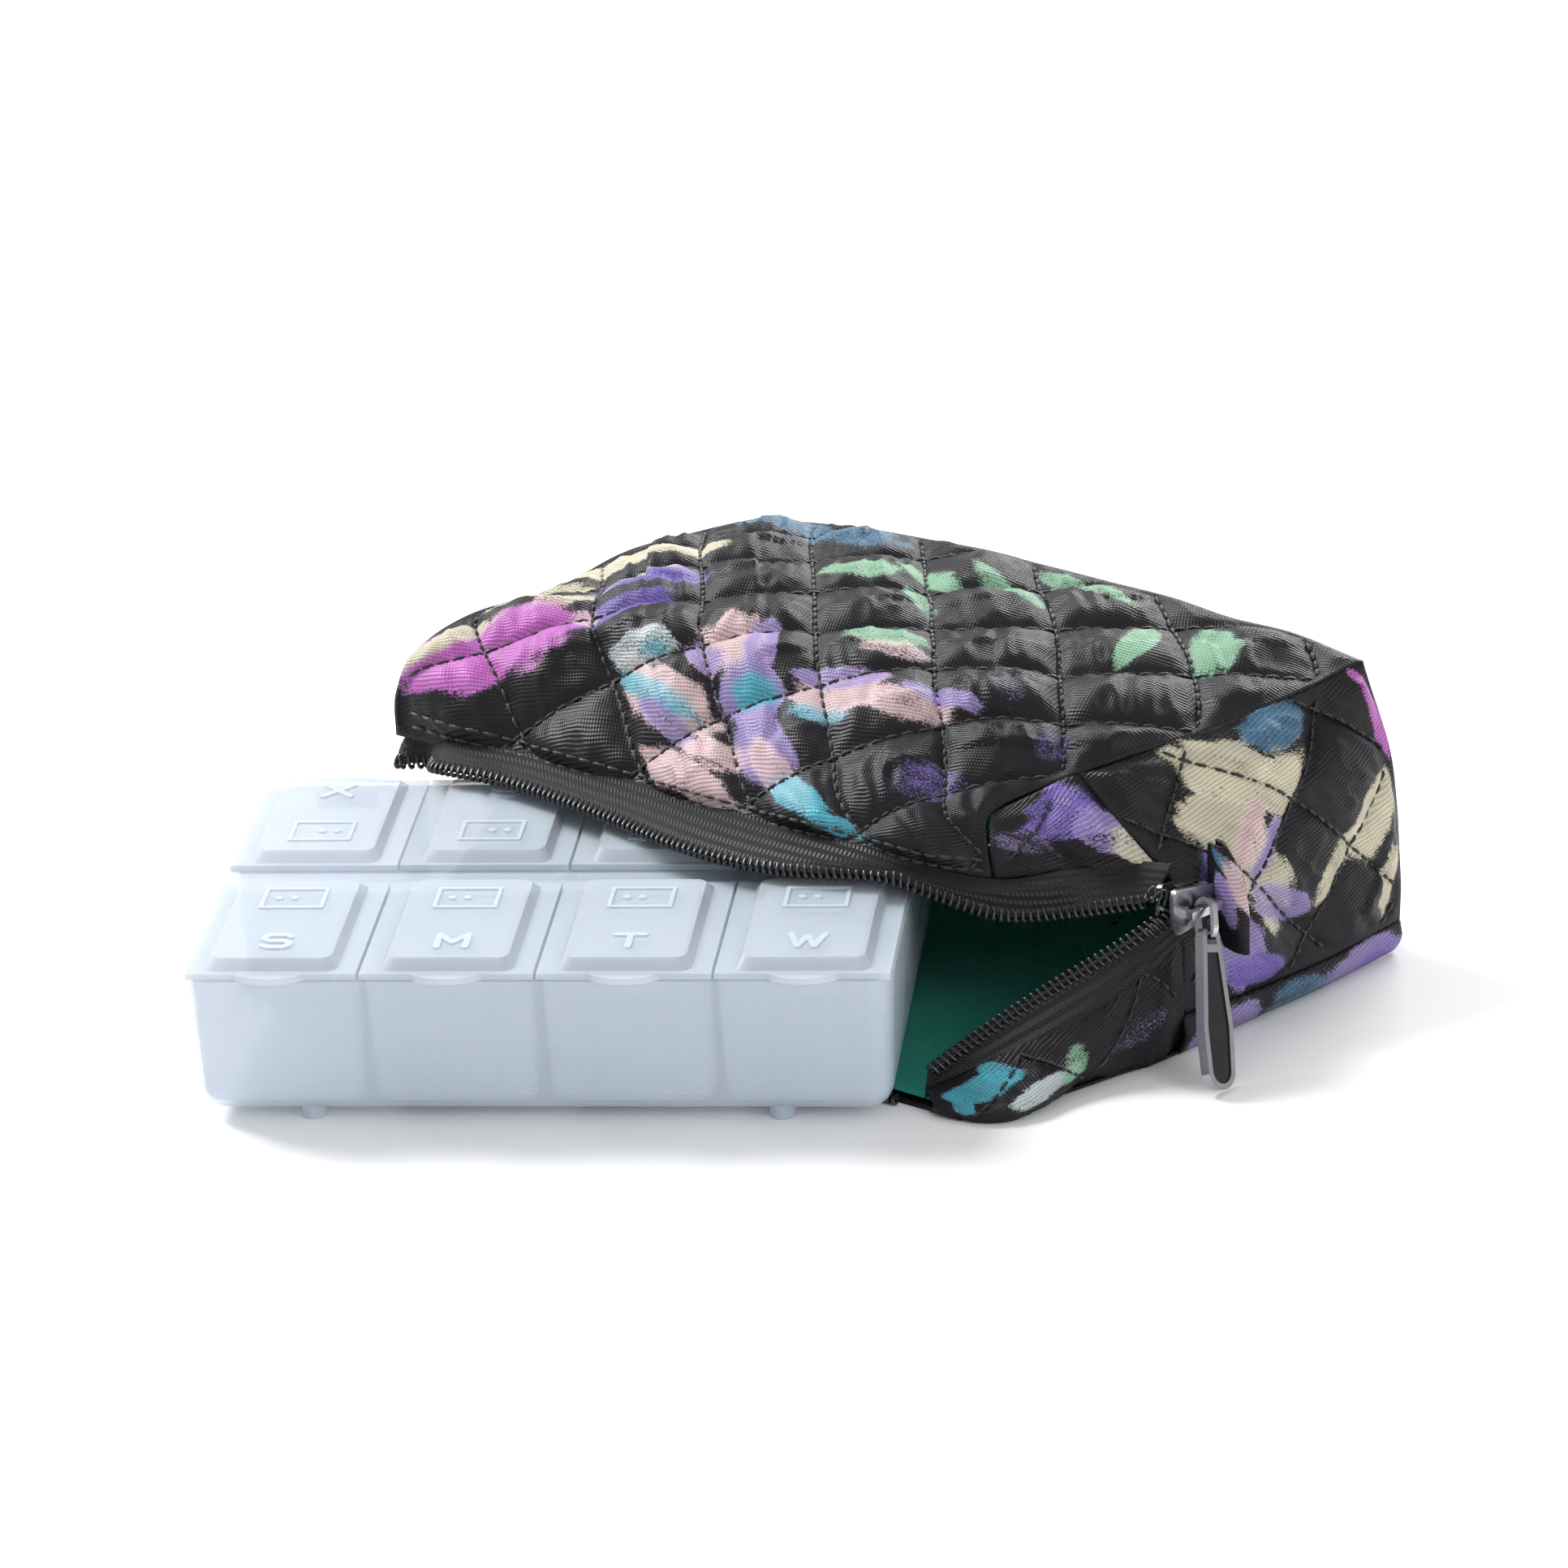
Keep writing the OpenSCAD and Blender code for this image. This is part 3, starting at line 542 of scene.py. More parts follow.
def polished_metal(name, colour, rough):
    """Plated zinc with faint wear and fine marks."""
    n = Nodes(name)
    place = n.object_mm()
    wear = n.noise(place, 0.5, 3.0, 0.6)
    drawn = n.node("ShaderNodeMapping", {"Vector": place, "Scale": (1, 1, 14)}).outputs[0]
    fine = n.noise(drawn, 1.5, 2.0)
    n.set(Base_Color=n.mix(wear, colour, tuple(0.72 * c for c in colour[:3]) + (1,)), Metallic=1.0,
          Roughness=n.math("MULTIPLY_ADD", wear, 0.12, n.math("MULTIPLY_ADD", fine, 0.05, rough)))
    n.bump(fine, 0.00002, 0.3)
    return n.material


def black_enamel():
    n = Nodes("black_enamel")
    wave = n.noise(n.object_mm(), 0.25, 2.0)
    n.set(Base_Color=n.mix(wave, (0.006, 0.006, 0.008, 1), (0.012, 0.012, 0.015, 1)),
          Roughness=n.math("MULTIPLY_ADD", wave, 0.1, 0.06), Specular_IOR_Level=0.35,
          Coat_Weight=0.15, Coat_Roughness=0.05)
    n.bump(wave, 0.00005, 0.3)
    return n.material


def frosted_plastic(name, colour, rough, see_through):
    """Translucent milky polypropylene with a slight moulded grain."""
    n = Nodes(name)
    place = n.object_mm()
    cloud = n.noise(place, 0.05, 3.0, 0.6)
    grain = n.noise(place, 2.5, 2.0)
    milky = tuple(0.93 * c for c in colour[:3]) + (1,)
    n.set(Base_Color=n.mix(cloud, colour, milky),
          Roughness=n.math("MULTIPLY_ADD", cloud, 0.1, n.math("MULTIPLY_ADD", grain, 0.04, rough)),
          Alpha=n.math("MULTIPLY_ADD", cloud, 0.08, 1 - see_through), IOR=1.49,
          Subsurface_Weight=0.25, Subsurface_Scale=0.004)
    n.bump(n.math("MULTIPLY_ADD", grain, 0.1, cloud), 0.00004, 0.15)
    return n.material


SATIN = printed_satin()
LINING = lining_cloth()
TAPE = zip_tape_cloth()
COIL = coil_nylon()
THREAD = stitch_thread()
METAL = polished_metal("gunmetal", (0.42, 0.42, 0.44, 1), 0.16)
BRIGHT = polished_metal("bright_nickel", (0.62, 0.62, 0.64, 1), 0.12)
ENAMEL = black_enamel()
TRAY = frosted_plastic("tray_polypropylene", (0.66, 0.75, 0.845, 1), 0.2, 0.5)
# Painted shade: the lids' colour is set darker than the tray's, standing in for the grey of their
# edges.
LID = frosted_plastic("lid_polypropylene", (0.63, 0.70, 0.78, 1), 0.14, 0.5)
MARK = frosted_plastic("raised_mark", (0.76, 0.82, 0.88, 1), 0.2, 0.5)

# ---------------------------------------------------------------- the brushed print

MAGENTA = (0.52, 0.10, 0.50)
CREAM = (0.66, 0.61, 0.44)
VIOLET = (0.13, 0.075, 0.42)
LILAC = (0.27, 0.20, 0.48)
PINK = (0.66, 0.46, 0.47)
TURQUOISE = (0.02, 0.38, 0.50)
TEAL = (0.01, 0.13, 0.25)
GREEN = (0.19, 0.44, 0.26)
PALE = (0.52, 0.60, 0.60)

# Brush strokes on each panel: middle (u, v), half length, half width, angle, colour, cover
STROKES = {
    "top": [
        (10, 6, 15, 6, 5, TEAL, 0.8), (6, 4, 8, 3, 0, TURQUOISE, 0.9),
        (30, 9, 12, 5, 0, TEAL, 0.75),
        (6, 35, 11, 4, -50, CREAM, 0.9), (15, 30, 10, 3, -35, CREAM, 0.8),
        (5, 50, 9, 4, -70, CREAM, 0.9),
        (19, 42, 11, 6.5, -30, VIOLET, 0.95), (17, 41, 7, 3, -30, CREAM, 0.8),
        (25, 52, 10, 4.5, -60, VIOLET, 0.9), (14, 52, 7, 3, -60, CREAM, 0.8),
        (14, 64, 13, 9, -50, MAGENTA, 1.0), (5, 70, 8, 7, -30, MAGENTA, 1.0),
        (3, 67, 10, 2.6, -60, CREAM, 0.95),
        (21, 56, 4, 2, 30, PINK, 0.8),
        (36, 60, 7, 4.5, -30, PALE, 0.7), (38, 60, 3.5, 2, -30, TURQUOISE, 0.7),
        (45, 67, 13, 5.5, 12, PINK, 0.85), (43, 67, 10, 2.2, 8, TURQUOISE, 0.8),
        (48, 71, 8, 2.2, 20, LILAC, 0.8),
        (50, 54, 9.5, 7.5, 50, PINK, 0.85), (55, 53, 9, 3.2, 55, LILAC, 0.85),
        (47, 58, 6, 3, 20, LILAC, 0.8),
        (72, 56, 9, 7, -20, PINK, 0.85), (70, 53, 9, 3, -20, LILAC, 0.85),
        (72, 61, 7, 2.2, -10, TURQUOISE, 0.6),
        (84, 54, 8, 4.5, -5, PINK, 0.8), (86, 50, 9, 2.5, 0, LILAC, 0.7),
        (67, 70, 11, 6, 30, LILAC, 0.9), (72, 73, 9, 3, 25, PINK, 0.85),
        (60, 73, 8, 3, 0, PINK, 0.8),
        (59, 62, 7.5, 6, 20, LILAC, 1.0), (59.5, 61.5, 4.6, 3.4, 0, TURQUOISE, 1.0),
        (55, 78, 13, 3.4, 10, PINK, 0.85), (79, 76, 9, 3.6, 15, TURQUOISE, 0.9),
        (87, 79, 7, 2.4, 0, TURQUOISE, 0.8),
        (45, 22, 7, 4.5, -45, GREEN, 0.8), (55, 17, 10, 2.6, 10, GREEN, 0.8),
        (66, 14, 12, 2.6, 20, GREEN, 0.75),
        (60, 26, 8, 2.4, 30, GREEN, 0.7), (75, 6, 13, 2.8, 10, GREEN, 0.7),
        (68, 41, 8, 4, -20, GREEN, 0.75),
        (72, 44, 7, 3, -20, PINK, 0.6), (93, 19, 10, 2.6, 70, GREEN, 0.95),
        (101, 13, 9, 4, 60, GREEN, 0.85),
        (99, 66, 8, 4.5, 0, VIOLET, 0.5), (107, 50, 6, 3, 60, VIOLET, 0.4),
        (92, 42, 9, 3, 40, LILAC, 0.3),
    ],
    "right": [
        (31, 3, 8, 4.5, -20, TEAL, 0.85), (20, 8, 11, 6.5, 55, CREAM, 0.95),
        (27, 12, 8, 4, -40, CREAM, 0.85),
        (14, 18, 10, 6.5, 80, CREAM, 0.95), (19, 27, 9, 6, 70, CREAM, 0.9),
        (17, 20, 8, 2.4, -55, PINK, 0.85),
        (20, 22, 7, 2, -50, LILAC, 0.85), (45, 24, 9, 5, -60, CREAM, 0.95),
        (36, 28, 9, 3, -35, CREAM, 0.8),
        (22, 31, 9, 3.5, 20, LILAC, 0.8), (11, 36, 10, 6, 70, LILAC, 0.9),
        (15, 41, 7, 4, 10, VIOLET, 0.8),
        (8, 28, 9, 4, 90, VIOLET, 0.7), (48, 35, 8, 3, -70, CREAM, 0.85),
        (50, 8, 9, 2, 80, MAGENTA, 0.9),
    ],
    "flap_right": [
        (12, 5, 9, 5.5, 0, VIOLET, 0.75), (5, 8, 6, 3, 30, LILAC, 0.5),
        (17, 9, 5, 4, 0, LILAC, 0.7),
        (20, 12, 4, 3.5, 0, CREAM, 0.85),
    ],
    "lower": [
        (8, 5, 7, 3.2, 0, TURQUOISE, 0.9), (12, 3, 4, 2, 40, TURQUOISE, 0.8),
        (5, 9, 4, 2, 80, TURQUOISE, 0.8),
        (18, 9.5, 7, 2.8, -10, PALE, 0.85), (24, 8, 3, 4, 0, GREEN, 0.7),
        (36, 8, 8, 3, 0, LILAC, 0.35),
    ],
    "strip": [
        (42, 4, 14, 5, 0, LILAC, 0.9), (46, 4, 8, 3, 0, VIOLET, 0.7), (25, 4, 8, 4, 0, TEAL, 0.7),
        (9, 4, 10, 4, 0, LILAC, 0.8),
    ],
    "left": [
        (70, 6, 9, 5, 80, CREAM, 0.95), (64, 4, 7, 4, 60, MAGENTA, 0.95),
        (52, 8, 9, 4, 20, CREAM, 0.8),
        (38, 6, 9, 5, 10, VIOLET, 0.8), (20, 8, 10, 4, -20, CREAM, 0.7),
        (8, 6, 7, 4, 30, TEAL, 0.7),
    ],
    "left_lower": [
        (12, 8, 9, 5, 30, PINK, 0.7), (30, 12, 10, 6, -20, LILAC, 0.8),
        (30, 10, 4, 3, 0, TURQUOISE, 0.9),
        (48, 8, 9, 4, 10, GREEN, 0.7), (62, 8, 7, 3, 20, CREAM, 0.8),
    ],
    "back": [
        (12, 12, 9, 6, 60, CREAM, 0.9), (20, 24, 12, 6, -40, MAGENTA, 0.95),
        (14, 34, 9, 4, 10, CREAM, 0.8),
        (38, 14, 12, 5, 30, GREEN, 0.75), (44, 32, 11, 6, -60, PINK, 0.8),
        (52, 26, 11, 6, 20, LILAC, 0.85),
        (50, 36, 10, 5, 70, VIOLET, 0.8), (49, 30, 4.5, 3.5, 0, TURQUOISE, 1.0),
        (72, 12, 12, 4, -15, TEAL, 0.8),
        (80, 32, 11, 6, 40, PINK, 0.8), (88, 26, 9, 5, -30, VIOLET, 0.8),
        (98, 14, 10, 5, 50, CREAM, 0.85),
        (108, 34, 10, 5, -50, GREEN, 0.75), (66, 42, 9, 3, 0, PALE, 0.7),
    ],
    "bottom": [
        (20, 20, 12, 7, 40, MAGENTA, 0.95), (36, 30, 12, 6, -30, CREAM, 0.85),
        (58, 22, 13, 6, 20, VIOLET, 0.85),
        (70, 48, 11, 8, 60, PINK, 0.85), (58, 52, 11, 6, -10, LILAC, 0.9),
        (64, 58, 10, 5, 80, LILAC, 0.85),
        (63, 50, 5, 4, 0, TURQUOISE, 1.0), (92, 34, 13, 4, -20, GREEN, 0.8),
        (100, 66, 12, 5, 30, GREEN, 0.75),
        (28, 66, 13, 6, 0, TEAL, 0.8), (90, 80, 11, 5, -40, CREAM, 0.85),
        (16, 48, 9, 4, 70, PALE, 0.7),
    ],
    "tab": [
        (4, 3, 4, 2, 60, TEAL, 0.9), (6, 7, 6, 2.6, 70, PINK, 0.9), (3, 9, 5, 2, 80, LILAC, 0.85),
        (9, 10, 4, 2, 80, PINK, 0.8),
    ],
}


def paint(obj, panel, strokes, seed):
    """Colours and cover of the brushed print at each point of the panel."""
    u, v = panel.u, panel.v
    colour = np.zeros(u.shape + (3,))
    cover = np.zeros(u.shape)
    for k, (cu, cv, long, wide, turn, tone, strength) in enumerate(strokes):
        c, s = math.cos(math.radians(turn)), math.sin(math.radians(turn))
        x, y = (u - cu) * c + (v - cv) * s, (v - cv) * c - (u - cu) * s
        edge = 0.22 * layered(u, v, 5, seed + 31 * k) + 0.12 * noise(x / 6, y / 0.8, seed + 17 * k)
        inside = smooth_step((1.06 - np.hypot(x / long, y / wide) + edge) / 0.42)
        streak = 1 + 0.42 * noise(x / 7, y / 0.9, seed + 5 * k) * (1 - inside * 0.4)
        blend = (inside * strength * streak).clip(0, 1)
        shade = 1 + 0.16 * layered(u, v, 4, seed + k)[..., None]
        colour = colour * (1 - blend[..., None]) + np.array(tone) * shade * blend[..., None]
        cover = np.maximum(cover * (1 - inside * 0.2), blend)
    safe = np.maximum(cover, 0.15)[..., None]
    ink = np.concatenate([np.clip(colour / np.minimum(safe * 1.02, 1), 0, 1), cover[..., None]], -1)
    layer = obj.data.attributes.new("ink", "FLOAT_COLOR", "POINT")
    layer.data.foreach_set("color", ink.astype(np.float32).ravel())


# ---------------------------------------------------------------- stitches


def thread_mesh(name, starts, ends, lift):
    """One object of short thread loops from start to end points, in mm of the pouch's axes."""
    profile = np.array([[0.0, 0.25], [0.12, 0.8], [0.5, 1.0], [0.88, 0.8], [1.0, 0.25]])
    sides = 6
    arch_rise = 0.9
    clear = 0.1
    turn = np.linspace(0, 2 * np.pi, sides, endpoint=False)
    vertices, faces = [], []
    for start, end, up in zip(starts, ends, lift):
        along = end - start
        side = unit(np.cross(along, up))
        for t, r in profile:
            arch = math.sin(math.pi * t) * STITCH_R * arch_rise
            middle = start + along * t + up * (arch + STITCH_R * clear)
            around = np.cos(turn)[:, None] * side + np.sin(turn)[:, None] * up
            vertices.append(middle + STITCH_R * r * around)
        base = (len(vertices) - len(profile)) * sides
        for k in range(len(profile) - 1):
            for q in range(sides):
                a, b = base + k * sides + q, base + k * sides + (q + 1) % sides
                faces.append((a, a + sides, b + sides, b))
        faces.append(tuple(base + q for q in range(sides)))
        faces.append(tuple(base + (len(profile) - 1) * sides + q for q in reversed(range(sides))))
    return add_object(name, to_row(np.concatenate(vertices)), faces, THREAD)


def quilting_lines(panel):
    """Start and end of every stitch of the panel's diamonds, in cloth measures."""
    phase, _ = panel.diamonds
    starts, ends = [], []
    reach = panel.width + panel.length
    lines = 20
    thread_share = 0.86

    def inside(p):
        return (STITCH_EDGE < p[0] < panel.width - STITCH_EDGE
                and STITCH_EDGE < p[1] < panel.length - STITCH_EDGE)

    for family in (0, 1):
        for k in range(-lines, lines + 1):
            offset = (k - phase[family]) * QUILT_SIDE
            for t0 in np.arange(-reach, reach, STITCH_PITCH):
                pair = []
                for t in (t0, t0 + STITCH_PITCH * thread_share):
                    plus, minus = (offset, t) if family == 0 else (t, offset)
                    pair.append(((plus + minus) / math.sqrt(2), (plus - minus) / math.sqrt(2)))
                if all(inside(p) for p in pair):
                    starts.append(pair[0])
                    ends.append(pair[1])
    return np.array(starts), np.array(ends)


def on_cloth(panel, uv):
    """Undoes the slight drift of the quilting lines, and gives points on the sheet."""
    _, seed = panel.diamonds
    near = 0.6
    u, v = uv[:, 0], uv[:, 1]
    u = u - LINE_DRIFT * layered(u, v, DRIFT_LENGTH, seed + 3)
    v = v - LINE_DRIFT * layered(u, v, DRIFT_LENGTH, seed + 4)
    down = panel.at(u, v + near) - panel.at(u, v - near)
    across = panel.at(u + near, v) - panel.at(u - near, v)
    return panel.at(u, v), down, across


def quilting_stitches(name, panel):
    starts, ends = quilting_lines(panel)
    a, down, across = on_cloth(panel, starts)
    b, _, _ = on_cloth(panel, ends)
    return thread_mesh(name, a, b, unit(np.cross(down, across)))


def seam_stitches(name, panel, from_lip):
    """A straight run of stitches at one distance from the panel's lower edge."""
    pitch, thread_share, end, near = 2.6, 0.84, 3, 0.6
    us = np.arange(end, panel.width - end, pitch)
    vs = np.full(us.shape, float(panel.length - from_lip))
    a, b = panel.at(us, vs), panel.at(us + pitch * thread_share, vs)
    up = unit(np.cross(panel.at(us, vs + near) - panel.at(us, vs - near), b - a))
    return thread_mesh(name, a, b, up)


# ---------------------------------------------------------------- the quilted pouch

def quilted(name, lines, phase, sides, strokes, nodes, bends, seed, depth=QUILT_DEPTH,
            thickness=SHELL_T):
    """A quilted panel with its print and stitches, in place of its CAD nodes."""
    panel = Panel(lines)
    quilt(panel, phase, sides, depth, seed)
    shell = panel_object(name, panel, SATIN, thickness)
    paint(shell, panel, STROKES[strokes], seed)
    stitches = quilting_stitches(name + "_stitches", panel)
    for piece in (shell, stitches):
        follow(piece, bends)
    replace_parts(shell, *nodes)
    return panel


top_panel = quilted("top_quilt", TOP, (0.715, 0.45), "tlrb", "top",
                    ["top_panel_rear", "top_panel_front", "upper_wall_front"], True, 3)
quilted("back_quilt", BACK, (0.3, 0.2), "tlr", "back", ["back_wall"], False, 5)
quilted("right_end_quilt", RIGHT_END, (0.13, 0.443), "tlrb", "right",
        ["right_wall", "right_wall_corner"], True, 8)
quilted("flap_right_quilt", FLAP_RIGHT, (0.4, 0.1), "tlrb", "flap_right",
        ["upper_wall_right"], True, 13)
quilted("left_upper_quilt", LEFT_UPPER, (0.15, 0.3), "tlr", "left", ["upper_wall_left"], True, 17)
quilted("left_lower_quilt", LEFT_LOWER, (0.45, 0.3), "tl", "left_lower",
        ["left_wall", "left_wall_corner", "lower_wall_left"], False, 19)
quilted("lower_right_quilt", LOWER_RIGHT, (0.25, 0.4), "tlr", "lower", ["lower_wall_right"],
        False, 23, depth=LOWER_DEPTH)
quilted("bottom_quilt", BOTTOM, (0.0, 0.0), "tblr", "bottom",
        ["bottom_panel", "lower_wall_front"], False, 29, depth=BOTTOM_DEPTH, thickness=BOTTOM_T)

# Two rows of topstitching along the flap's lip
for number, from_lip in enumerate(LIP_ROWS):
    run = seam_stitches("lip_stitches_%d" % number, top_panel, from_lip)
    follow(run, True)

# The strip below the right end hangs from that panel's drawn-in edge
strip = Panel(RIGHT_STRIP)
STRIP_PROUD = 0.15
strip_top = (1 - smooth_step(strip.v / strip.length))[..., None]
drawn_in = SEAM_DEPTH + sway(strip) - STRIP_PROUD
strip.points = strip.points + strip.inwards() * drawn_in * strip_top
strip_piece = panel_object("bottom_binding_strip", strip, SATIN)
paint(strip_piece, strip, STROKES["strip"], 41)
follow(strip_piece, False)
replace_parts(strip_piece, "bottom_binding")

# ---------------------------------------------------------------- lining


def lining(name, lines, nodes, bends=False, depth=LINING_DEPTH):
    """A thin sheet a little inside the quilted panel, in place of its CAD nodes."""
    panel = Panel(lines, step=LINING_STEP)
    panel.points = panel.points + panel.inwards() * depth
    sag = 0.25 * layered(panel.u, panel.v, 12, 3)[..., None]
    panel.points = panel.points + panel.normals() * sag
    obj = panel_object(name, panel, LINING, LINING_T)
    follow(obj, bends)
    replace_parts(obj, *nodes)


# ---------------------------------------------------------------- zipper


def coil(name, row_line, seam_line, bends, height=COIL_HEIGHT):
    """A flattened spiral of nylon along the tape's edge, round its inner cord."""
    row_line, seam_line = np.array(row_line, float), np.array(seam_line, float)
    knots = knots_of(row_line)
    at = np.linspace(0, knots[-1], int(knots[-1] / COIL_PITCH * COIL_TURN_POINTS))
    path = spline(row_line, knots, at)
    seam = spline(seam_line, knots, at)
    along = unit(np.gradient(path, axis=0))
    across = unit(seam - path)
    across = unit(across - along * (across * along).sum(-1, keepdims=True))
    up = np.cross(along, across)
    angle = at / COIL_PITCH * 2 * np.pi
    cos, sin = np.cos(angle), np.sin(angle)
    flat_cos = np.sign(cos) * np.abs(cos) ** 0.7
    path = path + across * COIL_SHIFT
    centre = path + across * (flat_cos * COIL_WIDTH)[:, None] + up * (sin * height)[:, None]
    wire = (WIRE_R + WIRE_SWELL * np.clip(-cos, 0, 1)) * MM
    spiral = tube(name, to_row(centre), wire, COIL)
    cord = tube(name + "_cord", to_row(path), np.full(len(path), CORD_R * MM), TAPE)
    for piece in (spiral, cord):
        follow(piece, bends)
    return spiral


def tape(name, row_line, seam_line, bends):
    """The woven strip from a row of coil to just under the seam."""
    row_line, seam_line = np.array(row_line, float), np.array(seam_line, float)
    to_seam = unit(seam_line - row_line)
    inwards = unit((HEART - seam_line) / HALF_SIZE)
    crown, tuck = 0.3, 0.9
    edge = row_line + to_seam * 0.2
    middle = (edge + seam_line) / 2 - inwards * crown
    under = seam_line + to_seam * TAPE_PAST_SEAM + inwards * tuck
    panel = Panel([edge, middle, seam_line + inwards * crown, under], step=0.5)
    obj = panel_object(name, panel, TAPE, TAPE_T)
    follow(obj, bends)
    return obj


for label, row_line, seam_line, bends in (("upper", UPPER_ROW, UPPER_SEAM, True),
                                          ("lower", LOWER_ROW, LOWER_SEAM, False)):
    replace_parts(coil(label + "_coil_spiral", row_line, seam_line, bends), label + "_coil")
    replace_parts(tape(label + "_zip_tape", row_line, seam_line, bends), label + "_tape")
coil("flat_coil_spiral", FLAT_ROW, [(x, y + 5, z) for x, y, z in FLAT_ROW], False,
     height=FLAT_COIL_HEIGHT)

FLOOR_INSET = (0.93, 0.95)
FLOOR_LIFT = 0.3
RIGHT_LINING_FRONT = -2
floor_lines = [[(x * FLOOR_INSET[0], y * FLOOR_INSET[1], FLOOR_T + FLOOR_LIFT)
                for x, y, z in reversed(line)] for line in reversed(BOTTOM)]
right_lines = [[(x, max(y, RIGHT_LINING_FRONT), z) for x, y, z in line] for line in RIGHT_END[:-1]]
lining("floor_lining", floor_lines, ["lining_floor", "lining_lower_right"], depth=0.0)
lining("back_lining", BACK, ["lining_back"])
lining("right_lining", right_lines, ["lining_right"])
lining("left_lining", LEFT_UPPER, ["lining_left"], True)
lining("top_lining", TOP[:-2], ["lining_top_rear", "lining_flap"], True)


def at_slider(p):
    """Points beside the slider, +X outwards and -Y along the closing zipper, to the pouch's axes."""
    p = np.asarray(p, float)
    c, s = math.cos(WALL_YAW), math.sin(WALL_YAW)
    x, y = c * p[..., 0] - s * p[..., 1], s * p[..., 0] + c * p[..., 1]
    return np.stack([x, y, p[..., 2]], -1) + ZIP_RIGHT


# Folded fabric tabs over the zipper's ends: each line runs round the fold
TAB = [
    [(0.2, 4.6, 8.6), (1.6, 4.6, 8.6), (2.4, 5.5, 8.6), (1.6, 6.4, 8.6), (0.2, 6.8, 8.6)],
    [(0.2, 4.4, 5), (3.4, 4.3, 5), (4.6, 5.4, 5), (3.4, 6.5, 5), (0.2, 7, 5)],
    [(0.6, 4.2, 0), (4.4, 3.9, 0), (5.8, 5.2, 0), (4.4, 6.5, 0), (0.6, 7.1, 0)],
    [(1.4, 4.3, -4), (4.8, 3.7, -4), (6.1, 4.9, -4), (4.8, 6.2, -4), (1.4, 7, -4)],
    [(2.4, 4.4, -7.6), (5, 3.9, -7.6), (6.2, 4.7, -7.6), (5, 5.8, -7.6), (2.4, 6.6, -7.6)],
]
TAB_LEFT = [
    [(0.6, 8.2, 6.2), (-1.4, 8, 6.2), (-2.4, 5.8, 6.2), (-1.4, 3.4, 6.2), (0.6, 3, 6.2)],
    [(0.6, 8.2, 0), (-2.4, 8, 0), (-3.8, 5.6, 0), (-2.4, 3.2, 0), (0.6, 3, 0)],
    [(0.8, 8.2, -6.2), (-1.2, 8, -6.2), (-2.2, 5.8, -6.2), (-1.2, 3.4, -6.2), (0.8, 3, -6.2)],
]
for name, node, lines, step, seed in (
        ("zip_tab_fold", "zip_tab_right", at_slider(np.array(TAB) * TAB_STRETCH), 0.35, 51),
        ("zip_tab_left_fold", "zip_tab_left", np.array(TAB_LEFT)[:, ::-1] + ZIP_LEFT, 0.5, 53)):
    tab = Panel(lines, step=step)
    tab_piece = panel_object(name, tab, SATIN, TAB_T)
    paint(tab_piece, tab, STROKES["tab"], seed)
    follow(tab_piece, False)
    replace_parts(tab_piece, node)

# Closed stretches of coil behind the slider and at the left end: place outwards, place
# along the zipper and height from its middle
CHAIN_RIGHT = [(-0.3, 4.6, 0.8), (-0.3, -2, 0.8), (-0.6, -4.4, 1.7), (-1.2, -7, 3.2)]
CHAIN_LEFT = [(-0.8, 3.4, 0.8), (-0.8, 1, 0.8), (-0.8, -1, 0.8), (-0.8, -3.4, 0.8)]
TO_SEAM = np.array([0, 0, 4])


def at_left_end(p):
    return p + ZIP_LEFT


for end, line, place in (("right", CHAIN_RIGHT, at_slider), ("left", CHAIN_LEFT, at_left_end)):
    for label, side in (("upper", 1), ("lower", -1)):
        mirror = np.array([1, 1, side])
        piece = coil("chain_%s_%s" % (end, label), place(np.array(line) * mirror),
                     place((np.array(line) + TO_SEAM) * mirror), False)
        if label == "upper":
            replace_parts(piece, "zip_chain_" + end)

# ---------------------------------------------------------------- CAD pieces that keep their shape


def finish_cad(node, material, round_r=0.0):
    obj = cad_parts[node]
    obj.data.materials.clear()
    obj.data.materials.append(material)
    if round_r:
        bevel = obj.modifiers.new("rounded_edges", "BEVEL")
        bevel.width = round_r * MM
        bevel.segments = 2
        bevel.limit_method = "ANGLE"
        bevel.angle_limit = math.radians(35)
        bevel.harden_normals = False


finish_cad("pill_tray", TRAY)
for i in range(1, 5):
    for side in ("front", "back"):
        finish_cad(f"lid_{side}_{i}", LID, 0.25)
        finish_cad(f"mark_{side}_{i}", MARK)
for node, material in (("slider_body", METAL), ("slider_bridge", BRIGHT), ("pull_link", BRIGHT),
                       ("pull_frame", METAL)):
    finish_cad(node, material, 0.22)
finish_cad("pull_inlay", ENAMEL, 0.15)

# ---------------------------------------------------------------- floor, light and camera

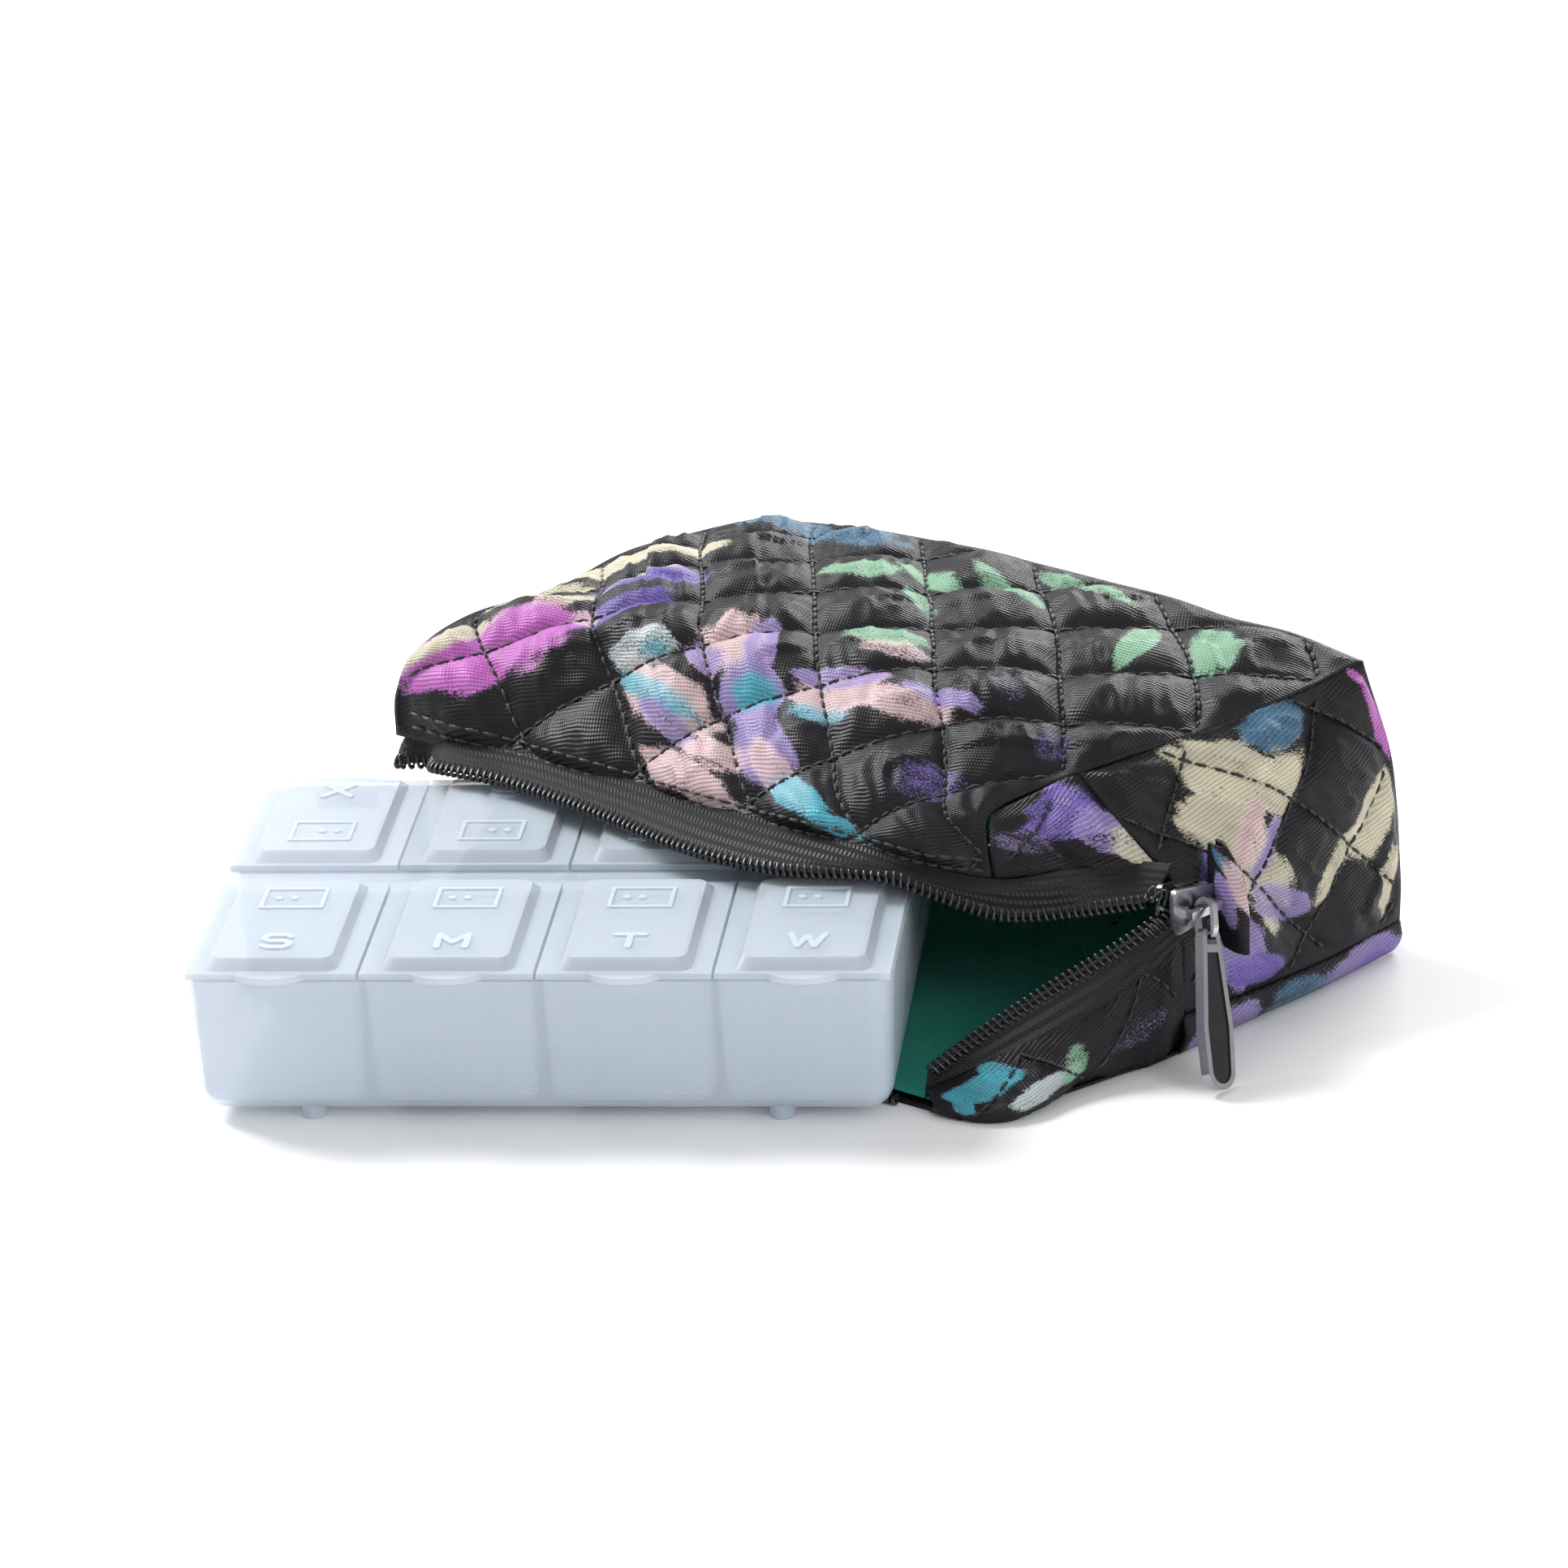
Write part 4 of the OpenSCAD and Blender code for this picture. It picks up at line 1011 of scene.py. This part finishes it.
HALF_FLOOR = 3
floor_look = Nodes("pale_floor")
floor_look.set(Base_Color=(0.93, 0.93, 0.935, 1), Roughness=0.7)
floor_corners = [(x * HALF_FLOOR, y * HALF_FLOOR, 0) for x, y in ((-1, -1), (1, -1), (1, 1), (-1, 1))]
floor = add_object("floor", floor_corners, [(0, 1, 2, 3)], floor_look.material)

world = bpy.data.worlds.new("studio")
bpy.context.scene.world = world
world.use_nodes = True
world.node_tree.nodes["Background"].inputs["Color"].default_value = (1, 1, 1, 1)
world.node_tree.nodes["Background"].inputs["Strength"].default_value = 0.62


def area_light(name, place, target, size, power):
    data = bpy.data.lights.new(name, "AREA")
    data.shape = "RECTANGLE"
    data.size, data.size_y = size
    data.energy = power
    light = bpy.data.objects.new(name, data)
    bpy.context.scene.collection.objects.link(light)
    light.location = place
    light.rotation_mode = "QUATERNION"
    light.rotation_quaternion = (Vector(target) - Vector(place)).to_track_quat("-Z", "Y")


# Places in metres, sizes in metres, powers in watts
area_light("key_softbox", (-0.6, 0.35, 0.75), (0, 0, 0.02), (0.35, 0.5), 13)
area_light("fill_softbox", (0.8, -0.7, 0.5), (0, 0, 0.02), (0.4, 0.5), 3)
area_light("back_softbox", (0.35, 0.9, 0.5), (0, 0, 0.03), (0.7, 0.25), 8)

# The photograph's point of view, in the row frame
CAMERA_PLACE = Vector((0.1128, -1.0016, 0.4357))
FORWARD = Vector((-0.1162, 0.9199, -0.3746)).normalized()
ROLL = math.radians(2.98)
camera_data = bpy.data.cameras.new("camera")
camera_data.lens = 157.5
camera_data.sensor_width = 36
camera_data.clip_end = 20
camera = bpy.data.objects.new("camera", camera_data)
bpy.context.scene.collection.objects.link(camera)
level = FORWARD.cross(Vector((0, 0, 1))).normalized()
above = level.cross(FORWARD)
right = math.cos(ROLL) * level - math.sin(ROLL) * above
up = math.sin(ROLL) * level + math.cos(ROLL) * above
turn = Matrix((right, up, -FORWARD)).transposed()
camera.matrix_world = Matrix.Translation(CAMERA_PLACE) @ turn.to_4x4()
bpy.context.scene.camera = camera
bpy.context.scene.view_settings.view_transform = "Standard"
